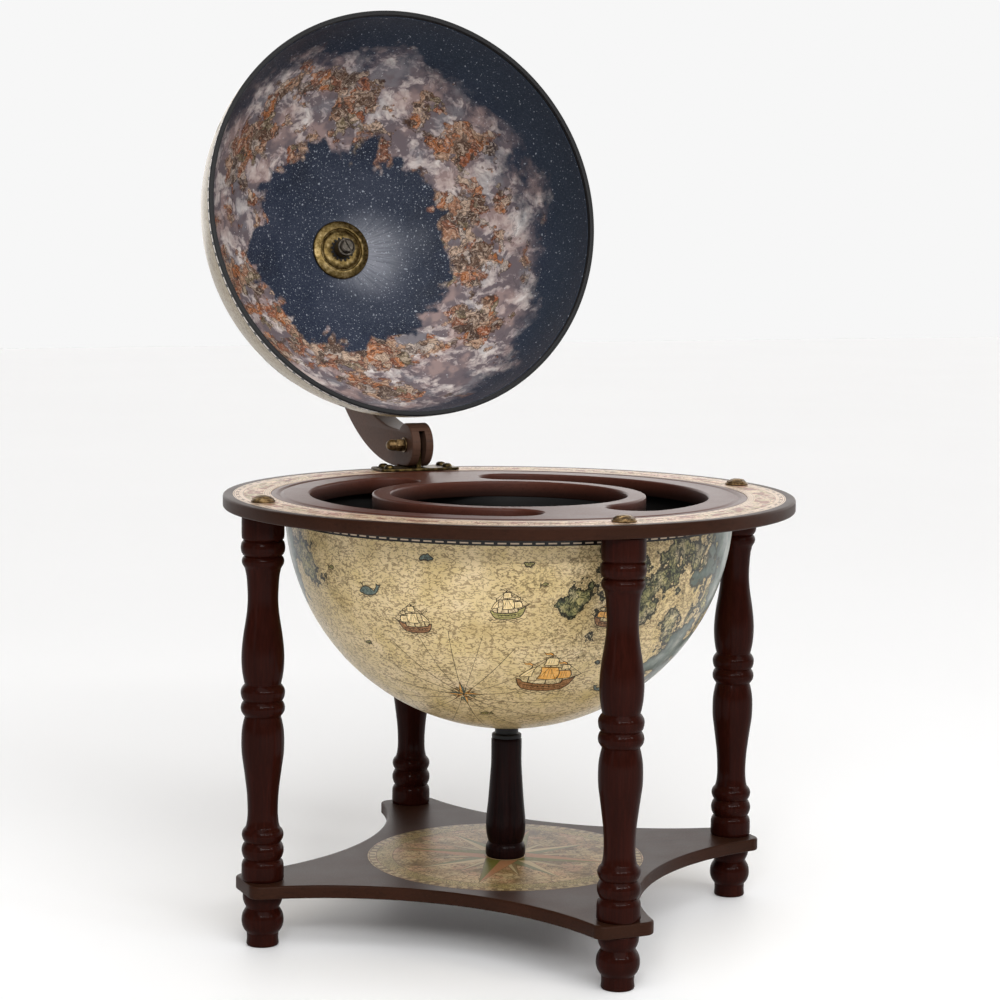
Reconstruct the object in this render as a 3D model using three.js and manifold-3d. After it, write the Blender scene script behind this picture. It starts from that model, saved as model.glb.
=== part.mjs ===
// Floor globe bar: a four-legged stand with a round horizon board, a lower
// half globe under it, a star-shaped lower shelf with a centre pillar, and an
// upper half globe that tips back on a curved arm.
// Millimetres, +Z up. +Y points to the hinge (the back leg), the legs stand on
// +X, -X, +Y and -Y. The lid is drawn open, as far back as it goes.
import * as THREE from 'three';
import { mergeVertices } from 'three/addons/utils/BufferGeometryUtils.js';
import Module from 'manifold-3d';

const wasm = await Module();
wasm.setup();

// ---------------------------------------------------------------- dimensions
const GLOBE_R = 165;            // outer radius of both half globes (13 inch globe)
const SHELL_T = 3;              // wall of the half globes
const RING_TOP = 319.6;         // top of the horizon board
const RING_T = 9.4;
const RING_R = 210;             // 42 cm board
const RING_BORE = 163;          // clear hole under the rebate
const REBATE_R = 175;           // rebate that takes the bottle plate
const REBATE_Z = 314.9;
const BAND_RI = 175.3;          // printed band
const BAND_RO = 202.5;
const PLATE_FLANGE_R = 174.7;
const PLATE_BODY_R = 160.2;
const PLATE_STEP_Z = 315.3;
const PLATE_BOTTOM = 307.6;
const HOLE_R = 146.4;           // outer edge of the crescent openings
const WELL_RO = 100.9;          // ring round the well, outside
const WELL_RI = 87.1;           // ring round the well, inside
const SLOT_HALF_DEG = 66.5;      // the round end of each crescent opening, from the X axis
const LOWER_CZ = 311.7;         // centre of the lower half globe
const BASE_R = 93.6;            // disc at the bottom of the well
const BASE_TOP = 190.4;
const BASE_T = 9;
const LEG_C = 190.5;            // leg axis from the centre
const SHELF_TOP = 47.6;
const SHELF_T = 9.4;
const SHELF_PRINT_R = 102.8;
const SHELF_ARC_C = 232.4;      // centre of the concave sides, on the diagonals
const SHELF_ARC_R = 212.7;
const SHELF_END = 205.7;        // end of each shelf corner
const SHELF_END_HW = 22.7;
const SHELF_CORNER_R = 9;
const LID_Z0 = 320.3;           // rim plane of the lid when shut
const PIVOT_Y = 185.8;          // hinge pin
const PIVOT_Z = 339.9;
const OPEN_DEG = 102.14;        // lid travel from shut to fully open
const ARM_RI = 174.4;           // curved arm, about the lid's centre
const ARM_RO = 204.9;
const ARM_T = 18;
const FOOT_RHO = 17.2;          // round foot of the arm about the pin
const FLANGE_Z = 320.0;
const FLANGE_T = 2.0;
const Y_SHIFT = -101.85;          // puts the origin under the middle of the whole object

const LARGE = 40, GLOBE_SEG = 32, ROWS = 7, TURNED = 12, SMALL = 10;
const D = Math.PI / 180;

// ------------------------------------------------------------------- helpers
function tidy(geometry) {
  let g = geometry.clone();
  for (const k of Object.keys(g.attributes)) if (k !== 'position') g.deleteAttribute(k);
  g.clearGroups();
  g = mergeVertices(g, 1e-4);
  const src = g.index.array, pos = g.attributes.position, keep = [];
  for (let i = 0; i < src.length; i += 3) {
    const [a, b, c] = [src[i], src[i + 1], src[i + 2]];
    if (a !== b && b !== c && a !== c) keep.push(a, b, c);
  }
  const p = new THREE.Vector3(), q = new THREE.Vector3(), r = new THREE.Vector3();
  let vol = 0;
  for (let i = 0; i < keep.length; i += 3) {
    p.fromBufferAttribute(pos, keep[i]);
    q.fromBufferAttribute(pos, keep[i + 1]);
    r.fromBufferAttribute(pos, keep[i + 2]);
    vol += p.dot(q.cross(r)) / 6;
  }
  if (vol < 0) for (let i = 0; i < keep.length; i += 3) [keep[i], keep[i + 1]] = [keep[i + 1], keep[i]];
  g.setIndex(keep);
  return g;
}
function solid(geometry) {
  const g = tidy(geometry);
  return new wasm.Manifold(new wasm.Mesh({
    numProp: 3,
    vertProperties: new Float32Array(g.attributes.position.array),
    triVerts: new Uint32Array(g.index.array),
  }));
}
function shape3(m) {
  const mesh = m.getMesh();
  const g = new THREE.BufferGeometry();
  g.setAttribute('position', new THREE.BufferAttribute(new Float32Array(mesh.vertProperties), 3));
  g.setIndex(Array.from(mesh.triVerts));
  return g;
}
const minus = (a, ...cuts) => { let m = solid(a); for (const c of cuts) m = m.subtract(solid(c)); return shape3(m); };
const plus = (a, ...adds) => { let m = solid(a); for (const c of adds) m = m.add(solid(c)); return shape3(m); };

// turned solid about Z from [radius, z] pairs
function turned(points, seg, loop = false) {
  const p = points.map(([r, z]) => new THREE.Vector2(r, z));
  if (loop) p.push(p[0].clone());
  const g = new THREE.LatheGeometry(p, seg);
  g.rotateX(Math.PI / 2);
  return tidy(g);
}
const rod = (r, z0, z1, seg = SMALL) => turned([[0, z0], [r, z0], [r, z1], [0, z1]], seg);
const pipe = (ri, ro, z0, z1, seg = SMALL) => turned([[ri, z0], [ro, z0], [ro, z1], [ri, z1]], seg, true);
const at = (g, x, y, z = 0) => { const c = g.clone(); c.translate(x, y, z); return c; };
function alongX(g) { const c = g.clone(); c.rotateY(Math.PI / 2); return c; }

function arcPts(cx, cy, r, a0, a1, n) {
  const out = [];
  for (let i = 0; i <= n; i++) {
    const a = (a0 + (a1 - a0) * i / n) * D;
    out.push([cx + r * Math.cos(a), cy + r * Math.sin(a)]);
  }
  return out;
}
function prism(points, z0, z1, holes = []) {
  const s = new THREE.Shape(points.map(([x, y]) => new THREE.Vector2(x, y)));
  for (const h of holes) s.holes.push(new THREE.Path(h.map(([x, y]) => new THREE.Vector2(x, y))));
  const g = new THREE.ExtrudeGeometry(s, { depth: z1 - z0, bevelEnabled: false, steps: 1 });
  g.translate(0, 0, z0);
  return tidy(g);
}
// outline given in (Y, Z), thickness along X from x0 to x1
const YZX = new THREE.Matrix4().makeBasis(
  new THREE.Vector3(0, 1, 0), new THREE.Vector3(0, 0, 1), new THREE.Vector3(1, 0, 0));
function sidePrism(points, x0, x1, holes = []) {
  const g = prism(points, x0, x1, holes);
  g.applyMatrix4(YZX);
  return tidy(g);
}

const COLORS = {
  board: { color: 0x3c2319, roughness: 0.42, metalness: 0 },
  leg: { color: 0x371412, roughness: 0.3, metalness: 0 },
  band: { color: 0xd9bea9, roughness: 0.5, metalness: 0 },
  compass: { color: 0x9a8468, roughness: 0.5, metalness: 0 },
  globe: { color: 0xa58e66, roughness: 0.38, metalness: 0 },
  lining: { color: 0x3c465a, roughness: 0.5, metalness: 0 },
  black: { color: 0x0c0c0c, roughness: 0.5, metalness: 0 },
  brass: { color: 0x6e5a34, roughness: 0.38, metalness: 1 },
  steel: { color: 0x8c8c88, roughness: 0.4, metalness: 1 },
};
const group = new THREE.Group();
const stand = new THREE.Group();
stand.position.y = Y_SHIFT;
group.add(stand);
function piece(parent, name, geometry, look) {
  const g = tidy(geometry);
  g.computeVertexNormals();
  const mesh = new THREE.Mesh(g, new THREE.MeshStandardMaterial(COLORS[look]));
  mesh.name = name;
  parent.add(mesh);
  return mesh;
}

const LEGS = { front: [0, -LEG_C], back: [0, LEG_C], left: [-LEG_C, 0], right: [LEG_C, 0] };

// --------------------------------------------------------------- horizon board
const bracketScrews = [[-24.8, 179.5], [-24.8, 192.5], [24.8, 179.5], [24.8, 192.5]];
const ringBody = turned([
  [RING_BORE, RING_TOP - RING_T], [RING_R - 1.2, RING_TOP - RING_T], [RING_R, RING_TOP - RING_T + 1.2],
  [RING_R, RING_TOP - 1.2], [RING_R - 1.2, RING_TOP], [BAND_RO + 0.3, RING_TOP],
  [BAND_RO + 0.3, RING_TOP - 0.7], [REBATE_R, RING_TOP - 0.7], [REBATE_R, REBATE_Z], [RING_BORE, REBATE_Z]], LARGE, true);
const ringCuts = [];
for (const [k, [x, y]] of Object.entries(LEGS)) ringCuts.push(at(rod(3.2, 300, k === 'back' ? 317 : 330, 8), x, y));
for (const [x, y] of bracketScrews) ringCuts.push(at(rod(2.4, 311.6, 330, 6), x, y));
piece(stand, 'horizon_ring', minus(ringBody, ...ringCuts), 'board');

const bandCuts = [];
for (const k of ['front', 'left', 'right']) bandCuts.push(at(rod(3.2, 300, 330, 8), ...LEGS[k]));
for (const [x, y] of bracketScrews) bandCuts.push(at(rod(2.4, 300, 330, 6), x, y));
piece(stand, 'horizon_band_print', minus(turned([[BAND_RI, RING_TOP - 0.4], [BAND_RO, RING_TOP - 0.4],
  [BAND_RO, RING_TOP], [BAND_RI, RING_TOP]], LARGE, true), ...bandCuts), 'band');

// ---------------------------------------------------------------- bottle plate
function slot(sign) {
  const Ro = HOLE_R, Ri = WELL_RO, e = (Ro - Ri) / 2, m = (Ro + Ri) / 2, a = SLOT_HALF_DEG;
  const cx = m * Math.cos(a * D), cy = m * Math.sin(a * D);
  const pts = [
    ...arcPts(0, 0, Ro, -a, a, 18),
    ...arcPts(cx, cy, e, a, a + 180, 7).slice(1),
    ...arcPts(0, 0, Ri, a, -a, 14).slice(1),
    ...arcPts(cx, -cy, e, 180 - a, 360 - a, 7).slice(1),
  ];
  const p = pts.slice(0, -1).map(([x, y]) => [sign * x, y]);
  if (sign < 0) p.reverse();
  return prism(p, 290, 330);
}
const plateBody = turned([[0, PLATE_BOTTOM], [PLATE_BODY_R, PLATE_BOTTOM], [PLATE_BODY_R, PLATE_STEP_Z],
  [PLATE_FLANGE_R, PLATE_STEP_Z], [PLATE_FLANGE_R, RING_TOP], [0, RING_TOP]], LARGE);
piece(stand, 'bottle_plate', minus(plateBody, slot(1), slot(-1), rod(WELL_RI, 290, 330, LARGE)), 'board');
piece(stand, 'bottle_base', turned([[0, BASE_TOP - BASE_T], [BASE_R - 3, BASE_TOP - BASE_T], [BASE_R, BASE_TOP - BASE_T + 3],
  [BASE_R, BASE_TOP], [0, BASE_TOP]], GLOBE_SEG), 'board');

// ------------------------------------------------------------ lower half globe
function shellProfile(ro, ri, t0, t1, rows) {
  const out = [];
  for (let i = 0; i <= rows; i++) { const t = (t1 + (t0 - t1) * i / rows) * D; out.push([ro * Math.sin(t), ro * Math.cos(t)]); }
  for (let i = rows; i >= 0; i--) { const t = (t1 + (t0 - t1) * i / rows) * D; out.push([ri * Math.sin(t), ri * Math.cos(t)]); }
  return out;
}
const T0 = Math.asin(3.6 / 162) / D, T1 = 90 - Math.asin(1.8 / 162) / D, T1_LINING = 90 - Math.asin(4.6 / 162) / D;
const lowerProfile = shellProfile(GLOBE_R, GLOBE_R - SHELL_T, T0, T1, ROWS).map(([r, z]) => [r, LOWER_CZ - z]);
piece(stand, 'lower_hemisphere', turned(lowerProfile, GLOBE_SEG, true), 'globe');

// ------------------------------------------------------------------------ legs
const LEG_PROFILE = [ // [z, radius] from the top down
  [309.9, 15.1], [294.2, 15.1], [292.6, 13.9], [289, 15.5], [285, 15.2], [281.6, 13.3], [277.5, 15.0],
  [272.6, 12.8], [262, 11.3], [248, 10.9], [229, 13.5], [213, 15.2], [201, 14.9], [189.6, 13.1],
  [183, 15.6], [177.5, 13.9], [172, 15.6], [166.3, 12.9], [154, 15.2], [142, 15.2],
  [116, 11.7], [98, 10.9], [86.4, 12.3], [81, 14.9], [75.2, 13.0], [69, 15.1], [62.8, 13.1], [58.5, 15.1], [47.9, 15.2]];
function leg(x, y) {
  const p = [[0, 284], [3.2, 284], [3.2, 309.9]];
  for (const [z, r] of LEG_PROFILE) p.push([r, z]);
  p.push([3.0, 47.9], [3.0, 74], [0, 74]);
  return at(turned(p, TURNED), x, y);
}
const FOOT_PROFILE = [[37.9, 14.2], [33.5, 14.1], [28, 12.1], [23.5, 14.7], [18.2, 15.1], [13.0, 14.2], [9.4, 11.7], [1, 11.6], [0, 11.2]];
function foot(x, y) {
  const p = [[0, 16], [3.0, 16], [3.0, 37.9]];
  for (const [z, r] of FOOT_PROFILE) p.push([r, z]);
  p.push([0, 0]);
  return at(turned(p, TURNED), x, y);
}
for (const [k, [x, y]] of Object.entries(LEGS)) {
  piece(stand, 'leg_' + k, leg(x, y), 'leg');
  piece(stand, 'foot_' + k, foot(x, y), 'leg');
  piece(stand, 'foot_stud_' + k, at(rod(2.6, 18, 72, 8), x, y), 'steel');
  piece(stand, 'leg_bolt_' + k, at(rod(2.8, 286, k === 'back' ? 316.2 : 321.6, 8), x, y), 'steel');
  if (k !== 'back') {
    piece(stand, 'cap_nut_' + k, at(turned([[0, 322.2], [3.2, 322.2], [3.2, 319.9], [8.7, 319.9], [8.9, 321.0], [6.6, 323.5],
      [3.0, 324.6], [0, 324.8]], 12), x, y), 'brass');
  }
}

// ----------------------------------------------------------------- lower shelf
function shelfOutline() {
  // one quarter, from the end of the +X corner round to the +Y corner, turned four times
  const c = SHELF_ARC_C, R = SHELF_ARC_R, hw = SHELF_END_HW, cr = SHELF_CORNER_R, straight = SHELF_END - cr, n = 12;
  const dip = Math.sqrt(R * R - (straight - c) ** 2);
  const aS = Math.atan2(-dip, straight - c) / D + 360, aE = Math.atan2(straight - c, -dip) / D + 360;
  const q = [
    [SHELF_END, 0], [SHELF_END, hw - cr], [SHELF_END - cr * 0.29, hw - cr * 0.29], [SHELF_END - cr, hw],
    ...arcPts(c, c, R, aS, aE, n),
    [hw, SHELF_END - cr], [hw - cr * 0.29, SHELF_END - cr * 0.29], [hw - cr, SHELF_END],
  ];
  const pts = [];
  for (const [ca, sa] of [[1, 0], [0, 1], [-1, 0], [0, -1]]) for (const [x, y] of q) pts.push([x * ca - y * sa, x * sa + y * ca]);
  return pts;
}
const shelfCuts = [rod(SHELF_PRINT_R + 0.3, SHELF_TOP - 0.7, SHELF_TOP + 5, LARGE), rod(3.2, 20, 60)];
for (const [x, y] of Object.values(LEGS)) shelfCuts.push(at(rod(3.0, 20, 60), x, y));
piece(stand, 'lower_shelf', minus(prism(shelfOutline(), SHELF_TOP - SHELF_T, SHELF_TOP), ...shelfCuts), 'board');
piece(stand, 'shelf_compass_print', pipe(3.2, SHELF_PRINT_R, SHELF_TOP - 0.4, SHELF_TOP, LARGE), 'compass');

// ---------------------------------------------------------------- centre pillar
piece(stand, 'pillar', turned([[0, 98], [3.4, 98], [3.4, 137.1], [10.8, 137.1], [11.3, 136.2], [11.3, 118], [12.4, 102],
  [14.4, 78], [14.7, 69], [12.9, 58.8], [14.6, 56], [14.6, 50], [14.1, 47.9],
  [3.2, 47.9], [3.2, 78], [0, 78]], 14), 'leg');
piece(stand, 'pillar_collar', turned([[3.4, 137.4], [11.0, 137.4], [11.0, 140.2], [8.7, 140.7], [8.7, 146.3], [3.4, 146.3]], 14, true), 'black');
piece(stand, 'pillar_bolt', turned([[0, 101], [2.9, 101], [2.9, 152.6], [5.6, 152.6], [5.6, 156.4], [0, 156.4]], SMALL), 'steel');
piece(stand, 'pillar_washer', pipe(3.3, 8.5, 150.8, 152.2), 'steel');
piece(stand, 'pillar_base_screw', turned([[0, 34.6], [5.2, 34.6], [6.0, 35.6], [6.0, 37.9], [2.8, 37.9], [2.8, 76], [0, 76]], SMALL), 'steel');

// --------------------------------------------------------------- hinge bracket
function roundedRect(x0, x1, y0, y1, r, n = 3) {
  return [...arcPts(x1 - r, y0 + r, r, -90, 0, n), ...arcPts(x1 - r, y1 - r, r, 0, 90, n),
    ...arcPts(x0 + r, y1 - r, r, 90, 180, n), ...arcPts(x0 + r, y0 + r, r, 180, 270, n)];
}
const flange = prism(roundedRect(-33.3, 33.3, PIVOT_Y - 13.5, PIVOT_Y + 13.5, 2.5), FLANGE_Z, FLANGE_Z + FLANGE_T);
const tongue = sidePrism([[PIVOT_Y - 8, FLANGE_Z + 1], [PIVOT_Y + 8, FLANGE_Z + 1], ...arcPts(PIVOT_Y, PIVOT_Z, 8, 0, 180, 10)], -2, 2);
const pinHole = at(alongX(rod(3.4, -30, 30)), 0, PIVOT_Y, PIVOT_Z);
piece(stand, 'hinge_bracket', minus(plus(flange, tongue), pinHole, ...bracketScrews.map(([x, y]) => at(rod(2.4, 300, 330, 6), x, y))), 'brass');
const SIDE = { '-24.8,179.5': 'left_inner', '-24.8,192.5': 'left_outer', '24.8,179.5': 'right_inner', '24.8,192.5': 'right_outer' };
for (const [x, y] of bracketScrews) {
  piece(stand, 'bracket_screw_' + SIDE[x + ',' + y], at(turned([[0, 312.2], [1.9, 313.2], [1.9, 322.3], [4.1, 322.3], [3.2, 324.3],
    [0, 325.0]], 8), x, y), 'brass');
}

// ------------------------------------------------------------------ curved arm
const B = OPEN_DEG * D;
function toOpen([y, z]) { // from the shut pose to the open pose, about the pin
  const dy = y - PIVOT_Y, dz = z - PIVOT_Z;
  return [PIVOT_Y + dy * Math.cos(B) + dz * Math.sin(B), PIVOT_Z - dy * Math.sin(B) + dz * Math.cos(B)];
}
const ARM_RM = (ARM_RI + ARM_RO) / 2, ARM_HW = (ARM_RO - ARM_RI) / 2;
const E0 = 6.0;
const armOutline = [
  ...arcPts(0, LID_Z0, ARM_RO, E0, 90, 20),
  ...arcPts(0, LID_Z0 + ARM_RM, ARM_HW, 90, 270, 8).slice(1, -1),
  ...arcPts(0, LID_Z0, ARM_RI, 90, E0, 20),
].map(toOpen);
const footDisc = sidePrism(arcPts(PIVOT_Y, PIVOT_Z, FOOT_RHO, 0, 345, 23), -ARM_T / 2, ARM_T / 2);
const leftDir = (180 - (OPEN_DEG - 90)) * D;            // where the bracket's tongue points when the lid is shut
const sl = 9;
const slotCut = sidePrism([
  [PIVOT_Y + sl, PIVOT_Z - 60], [PIVOT_Y + sl, PIVOT_Z],
  ...arcPts(PIVOT_Y, PIVOT_Z, sl, 0, leftDir / D - 90, 6).slice(1),
  [PIVOT_Y + sl * Math.cos(leftDir - Math.PI / 2) + 50 * Math.cos(leftDir), PIVOT_Z + sl * Math.sin(leftDir - Math.PI / 2) + 50 * Math.sin(leftDir)],
  [PIVOT_Y - 60, PIVOT_Z - 60],
], -2.5, 2.5);
const flatCut = sidePrism([[120, 290], [201.5, 290], [201.5, 322.5], [120, 322.5]], -20, 20);
const poleHole = rod(3.6, 160, 230);
const lidPlace = new THREE.Matrix4().makeTranslation(0, PIVOT_Y, PIVOT_Z)
  .multiply(new THREE.Matrix4().makeRotationX(-B))
  .multiply(new THREE.Matrix4().makeTranslation(0, -PIVOT_Y, LID_Z0 - PIVOT_Z));
poleHole.applyMatrix4(lidPlace);
piece(stand, 'meridian_arm', minus(plus(sidePrism(armOutline, -ARM_T / 2, ARM_T / 2), footDisc), slotCut, flatCut, pinHole, poleHole), 'board');

// hinge pin, its washer and cap nut
piece(stand, 'hinge_bolt', at(alongX(turned([[0, -20.5], [3.0, -20.5], [3.0, 9.7], [5.6, 9.7], [5.6, 11.2], [3.8, 13.0], [0, 13.6]], SMALL)), 0, PIVOT_Y, PIVOT_Z), 'brass');
piece(stand, 'hinge_washer', at(alongX(pipe(3.4, 6.0, -10.4, -9.4)), 0, PIVOT_Y, PIVOT_Z), 'brass');
piece(stand, 'hinge_cap_nut', at(alongX(turned([[0, -25.0], [2.6, -24.4], [4.2, -22.6], [4.6, -20.0], [4.6, -17.4], [5.3, -17.4], [5.3, -10.8], [3.3, -10.8], [3.3, -21.4], [0, -21.4]], SMALL)), 0, PIVOT_Y, PIVOT_Z), 'brass');

// ------------------------------------------------------------------------- lid
// drawn about its own centre with the pole on +Z, then tipped open with the arm
const lid = new THREE.Group();
lid.applyMatrix4(lidPlace);
stand.add(lid);
piece(lid, 'upper_hemisphere', turned(shellProfile(GLOBE_R, GLOBE_R - SHELL_T, T0, T1, ROWS), GLOBE_SEG, true), 'globe');
piece(lid, 'lid_lining', turned(shellProfile(GLOBE_R - SHELL_T - 0.4, GLOBE_R - SHELL_T - 1.0, T0, T1_LINING, ROWS), GLOBE_SEG, true), 'lining');
piece(lid, 'lid_rim_trim', pipe(161.7, 166.0, 0, 1.4, GLOBE_SEG), 'black');
piece(lid, 'pole_rosette', turned([[3.6, 159.6], [3.6, 157.6], [10.2, 157.4], [13.4, 154.9], [16.6, 155.5], [17.6, 156.8], [18.4, 155.6], [21.8, 155.0], [25.2, 157.2],
  [25.2, 158.0], [10.0, 159.4]], 20, true), 'brass');
function star(n, ro, ri) {
  const pts = [];
  for (let i = 0; i < 2 * n; i++) { const a = Math.PI * i / n, r = i % 2 ? ri : ro; pts.push([r * Math.cos(a), r * Math.sin(a)]); }
  return pts;
}
piece(lid, 'star_washer', prism(star(18, 9.9, 8.3), 155.9, 157.0, [arcPts(0, 0, 3.6, 0, 315, 7).reverse()]), 'black');
piece(lid, 'pole_collar', pipe(3.6, 8.4, 143.2, 155.5, 14), 'black');
piece(lid, 'pole_screw', minus(turned([[0, 139.5], [5.6, 139.5], [6.2, 140.1], [6.2, 142.8], [3.1, 142.8], [3.1, 209.4], [0, 209.4]], 14),
  (() => { const g = prism([[-8, -0.6], [8, -0.6], [8, 0.6], [-8, 0.6]], 130, 140.7); g.rotateZ(60 * D); return g; })()), 'brass');
piece(lid, 'pole_spacer', pipe(3.6, 9.0, 165.4, 174.0, 14), 'brass');
piece(lid, 'pole_cap_nut', turned([[0, 210.0], [3.5, 210.0], [3.5, 205.3], [8.7, 205.3], [8.9, 206.6], [6.6, 210.2], [3.0, 212.1], [0, 212.5]], 12), 'brass');

export default group;
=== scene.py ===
"""Looks of a floor globe bar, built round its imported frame. Row frame, metres."""
import math
import random

import bmesh
import bpy
import numpy as np
from mathutils import Matrix, Vector, geometry, noise


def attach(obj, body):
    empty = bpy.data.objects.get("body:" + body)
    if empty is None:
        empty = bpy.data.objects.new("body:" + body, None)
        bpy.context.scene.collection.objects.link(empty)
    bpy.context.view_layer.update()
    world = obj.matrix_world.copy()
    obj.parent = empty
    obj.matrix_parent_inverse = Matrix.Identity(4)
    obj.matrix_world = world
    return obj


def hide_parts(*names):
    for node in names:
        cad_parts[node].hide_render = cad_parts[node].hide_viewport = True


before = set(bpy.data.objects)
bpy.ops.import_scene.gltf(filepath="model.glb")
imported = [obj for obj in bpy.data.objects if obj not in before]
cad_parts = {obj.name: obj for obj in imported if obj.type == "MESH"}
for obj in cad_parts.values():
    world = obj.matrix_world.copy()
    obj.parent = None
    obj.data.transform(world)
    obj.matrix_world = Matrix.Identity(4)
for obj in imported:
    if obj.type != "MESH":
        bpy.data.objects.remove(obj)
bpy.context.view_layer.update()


MM = 0.001
Y_SHIFT = -101.85

# sizes in millimetres, the same as the frame's
GLOBE_R, SHELL_T, LOWER_CZ = 165.0, 3.0, 311.7
RING_TOP, RING_R, RING_T = 319.6, 210.0, 9.4
LEG_C = 190.5
SHELF_TOP, SHELF_T = 47.6, 9.4
PIVOT_Y, PIVOT_Z, OPEN = 185.8, 339.9, math.radians(102.14)
LID_Z0 = 320.3
ARM_RI, ARM_RO, ARM_T = 174.4, 204.9, 18.0
LEGS = {"front": (0, -LEG_C), "back": (0, LEG_C), "left": (-LEG_C, 0), "right": (LEG_C, 0)}

LID = (Matrix.Translation((0, PIVOT_Y, PIVOT_Z)) @ Matrix.Rotation(-OPEN, 4, "X")
       @ Matrix.Translation((0, -PIVOT_Y, LID_Z0 - PIVOT_Z)))
LID_C = LID.translation.copy()


# ------------------------------------------------------------------ mesh tools
def build(name, verts, faces, mat, body, nodes=(), slot=None, sharp=32.0, flat=(), place=None, mat_ids=None):
    """A mesh in the row frame from points in millimetres in the stand's own frame."""
    v = np.array(verts, float).reshape(-1, 3)
    if place is not None:
        m = np.array(place)
        v = v @ m[:3, :3].T + m[:3, 3]
    v = v.copy()
    v[:, 1] += Y_SHIFT
    mesh = bpy.data.meshes.new(name)
    mesh.from_pydata((v * MM).tolist(), [], [list(map(int, f)) for f in faces])
    mesh.validate()
    bm = bmesh.new()
    bm.from_mesh(mesh)
    bmesh.ops.recalc_face_normals(bm, faces=bm.faces)
    bm.to_mesh(mesh)
    bm.free()
    for m in (mat if isinstance(mat, (list, tuple)) else [mat]):
        mesh.materials.append(m)
    if mat_ids is not None:
        mesh.polygons.foreach_set("material_index", mat_ids)
    mesh.shade_smooth()
    mesh.set_sharp_from_angle(angle=math.radians(sharp))
    flat = set(flat)
    if flat:
        for p in mesh.polygons:
            if p.index in flat:
                p.use_smooth = False
    ob = bpy.data.objects.new(name, mesh)
    bpy.context.scene.collection.objects.link(ob)
    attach(ob, body)
    if nodes:
        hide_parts(*nodes)
    return ob


def rounded(points, seg=5):
    """[(r, z) or (r, z, fillet)] to a polyline with its corners rounded."""
    out, n = [], len(points)
    for i, p in enumerate(points):
        rad = p[2] if len(p) > 2 else 0
        if rad <= 0 or i in (0, n - 1):
            out.append((p[0], p[1]))
            continue
        c, a, b = (Vector((q[0], q[1])) for q in (p, points[i - 1], points[i + 1]))
        u, w = (a - c).normalized(), (b - c).normalized()
        ang = math.acos(max(-1, min(1, u.dot(w))))
        if ang > math.pi - 0.02:
            out.append((p[0], p[1]))
            continue
        t = min(rad / math.tan(ang / 2), (a - c).length * 0.49, (b - c).length * 0.49)
        rr = t * math.tan(ang / 2)
        centre = c + (u + w).normalized() * (rr / math.sin(ang / 2))
        s, e = c + u * t - centre, c + w * t - centre
        a0, a1 = math.atan2(s.y, s.x), math.atan2(e.y, e.x)
        d = (a1 - a0 + math.pi) % (2 * math.pi) - math.pi
        for k in range(seg + 1):
            q = a0 + d * k / seg
            out.append((centre.x + rr * math.cos(q), centre.y + rr * math.sin(q)))
    return out


def curve(points, sub=6):
    """A smooth line through [(r, z)] (centripetal Catmull-Rom)."""
    p = [Vector(q) for q in points]
    p = [p[0] * 2 - p[1]] + p + [p[-1] * 2 - p[-2]]
    out = []
    for i in range(1, len(p) - 2):
        a, b, c, d = p[i - 1:i + 3]
        t0 = 0.0
        t1 = t0 + max((b - a).length, 1e-6) ** 0.5
        t2 = t1 + max((c - b).length, 1e-6) ** 0.5
        t3 = t2 + max((d - c).length, 1e-6) ** 0.5
        for k in range(sub):
            t = t1 + (t2 - t1) * k / sub
            a1 = a * ((t1 - t) / (t1 - t0)) + b * ((t - t0) / (t1 - t0))
            a2 = b * ((t2 - t) / (t2 - t1)) + c * ((t - t1) / (t2 - t1))
            a3 = c * ((t3 - t) / (t3 - t2)) + d * ((t - t2) / (t3 - t2))
            b1 = a1 * ((t2 - t) / (t2 - t0)) + a2 * ((t - t0) / (t2 - t0))
            b2 = a2 * ((t3 - t) / (t3 - t1)) + a3 * ((t - t1) / (t3 - t1))
            q = b1 * ((t2 - t) / (t2 - t1)) + b2 * ((t - t1) / (t2 - t1))
            out.append((q.x, q.y))
    out.append(tuple(points[-1]))
    return out


def lathe(profile, seg, loop=False, turn=0.0):
    """Turns [(r, z)] about Z. Returns points and faces."""
    verts, faces, rows = [], [], []
    for r, z in profile:
        if r < 1e-6:
            rows.append([len(verts)])
            verts.append((0.0, 0.0, z))
        else:
            rows.append(list(range(len(verts), len(verts) + seg)))
            for k in range(seg):
                a = turn + 2 * math.pi * k / seg
                verts.append((r * math.cos(a), r * math.sin(a), z))
    pairs = list(zip(rows, rows[1:] + rows[:1])) if loop else list(zip(rows, rows[1:]))
    for a, b in pairs:
        if len(a) == 1 and len(b) == 1:
            continue
        for k in range(seg):
            k2 = (k + 1) % seg
            if len(a) == 1:
                faces.append((a[0], b[k2], b[k]))
            elif len(b) == 1:
                faces.append((a[k], a[k2], b[0]))
            else:
                faces.append((a[k], a[k2], b[k2], b[k]))
    return verts, faces


def moved(shape, x=0.0, y=0.0, z=0.0):
    v, f = shape
    return [(a + x, b + y, c + z) for a, b, c in v], f


def along_x(shape):
    v, f = shape
    return [(c, a, b) for a, b, c in v], f


def joined(*shapes):
    verts, faces = [], []
    for v, f in shapes:
        n = len(verts)
        verts += list(v)
        faces += [tuple(i + n for i in q) for q in f]
    return verts, faces


def arc(cx, cy, r, a0, a1, n):
    return [(cx + r * math.cos(math.radians(a0 + (a1 - a0) * i / n)),
             cy + r * math.sin(math.radians(a0 + (a1 - a0) * i / n))) for i in range(n + 1)]


def area(poly):
    p = np.array(poly)
    q = np.roll(p, -1, 0)
    return 0.5 * float((p[:, 0] * q[:, 1] - q[:, 0] * p[:, 1]).sum())


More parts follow.
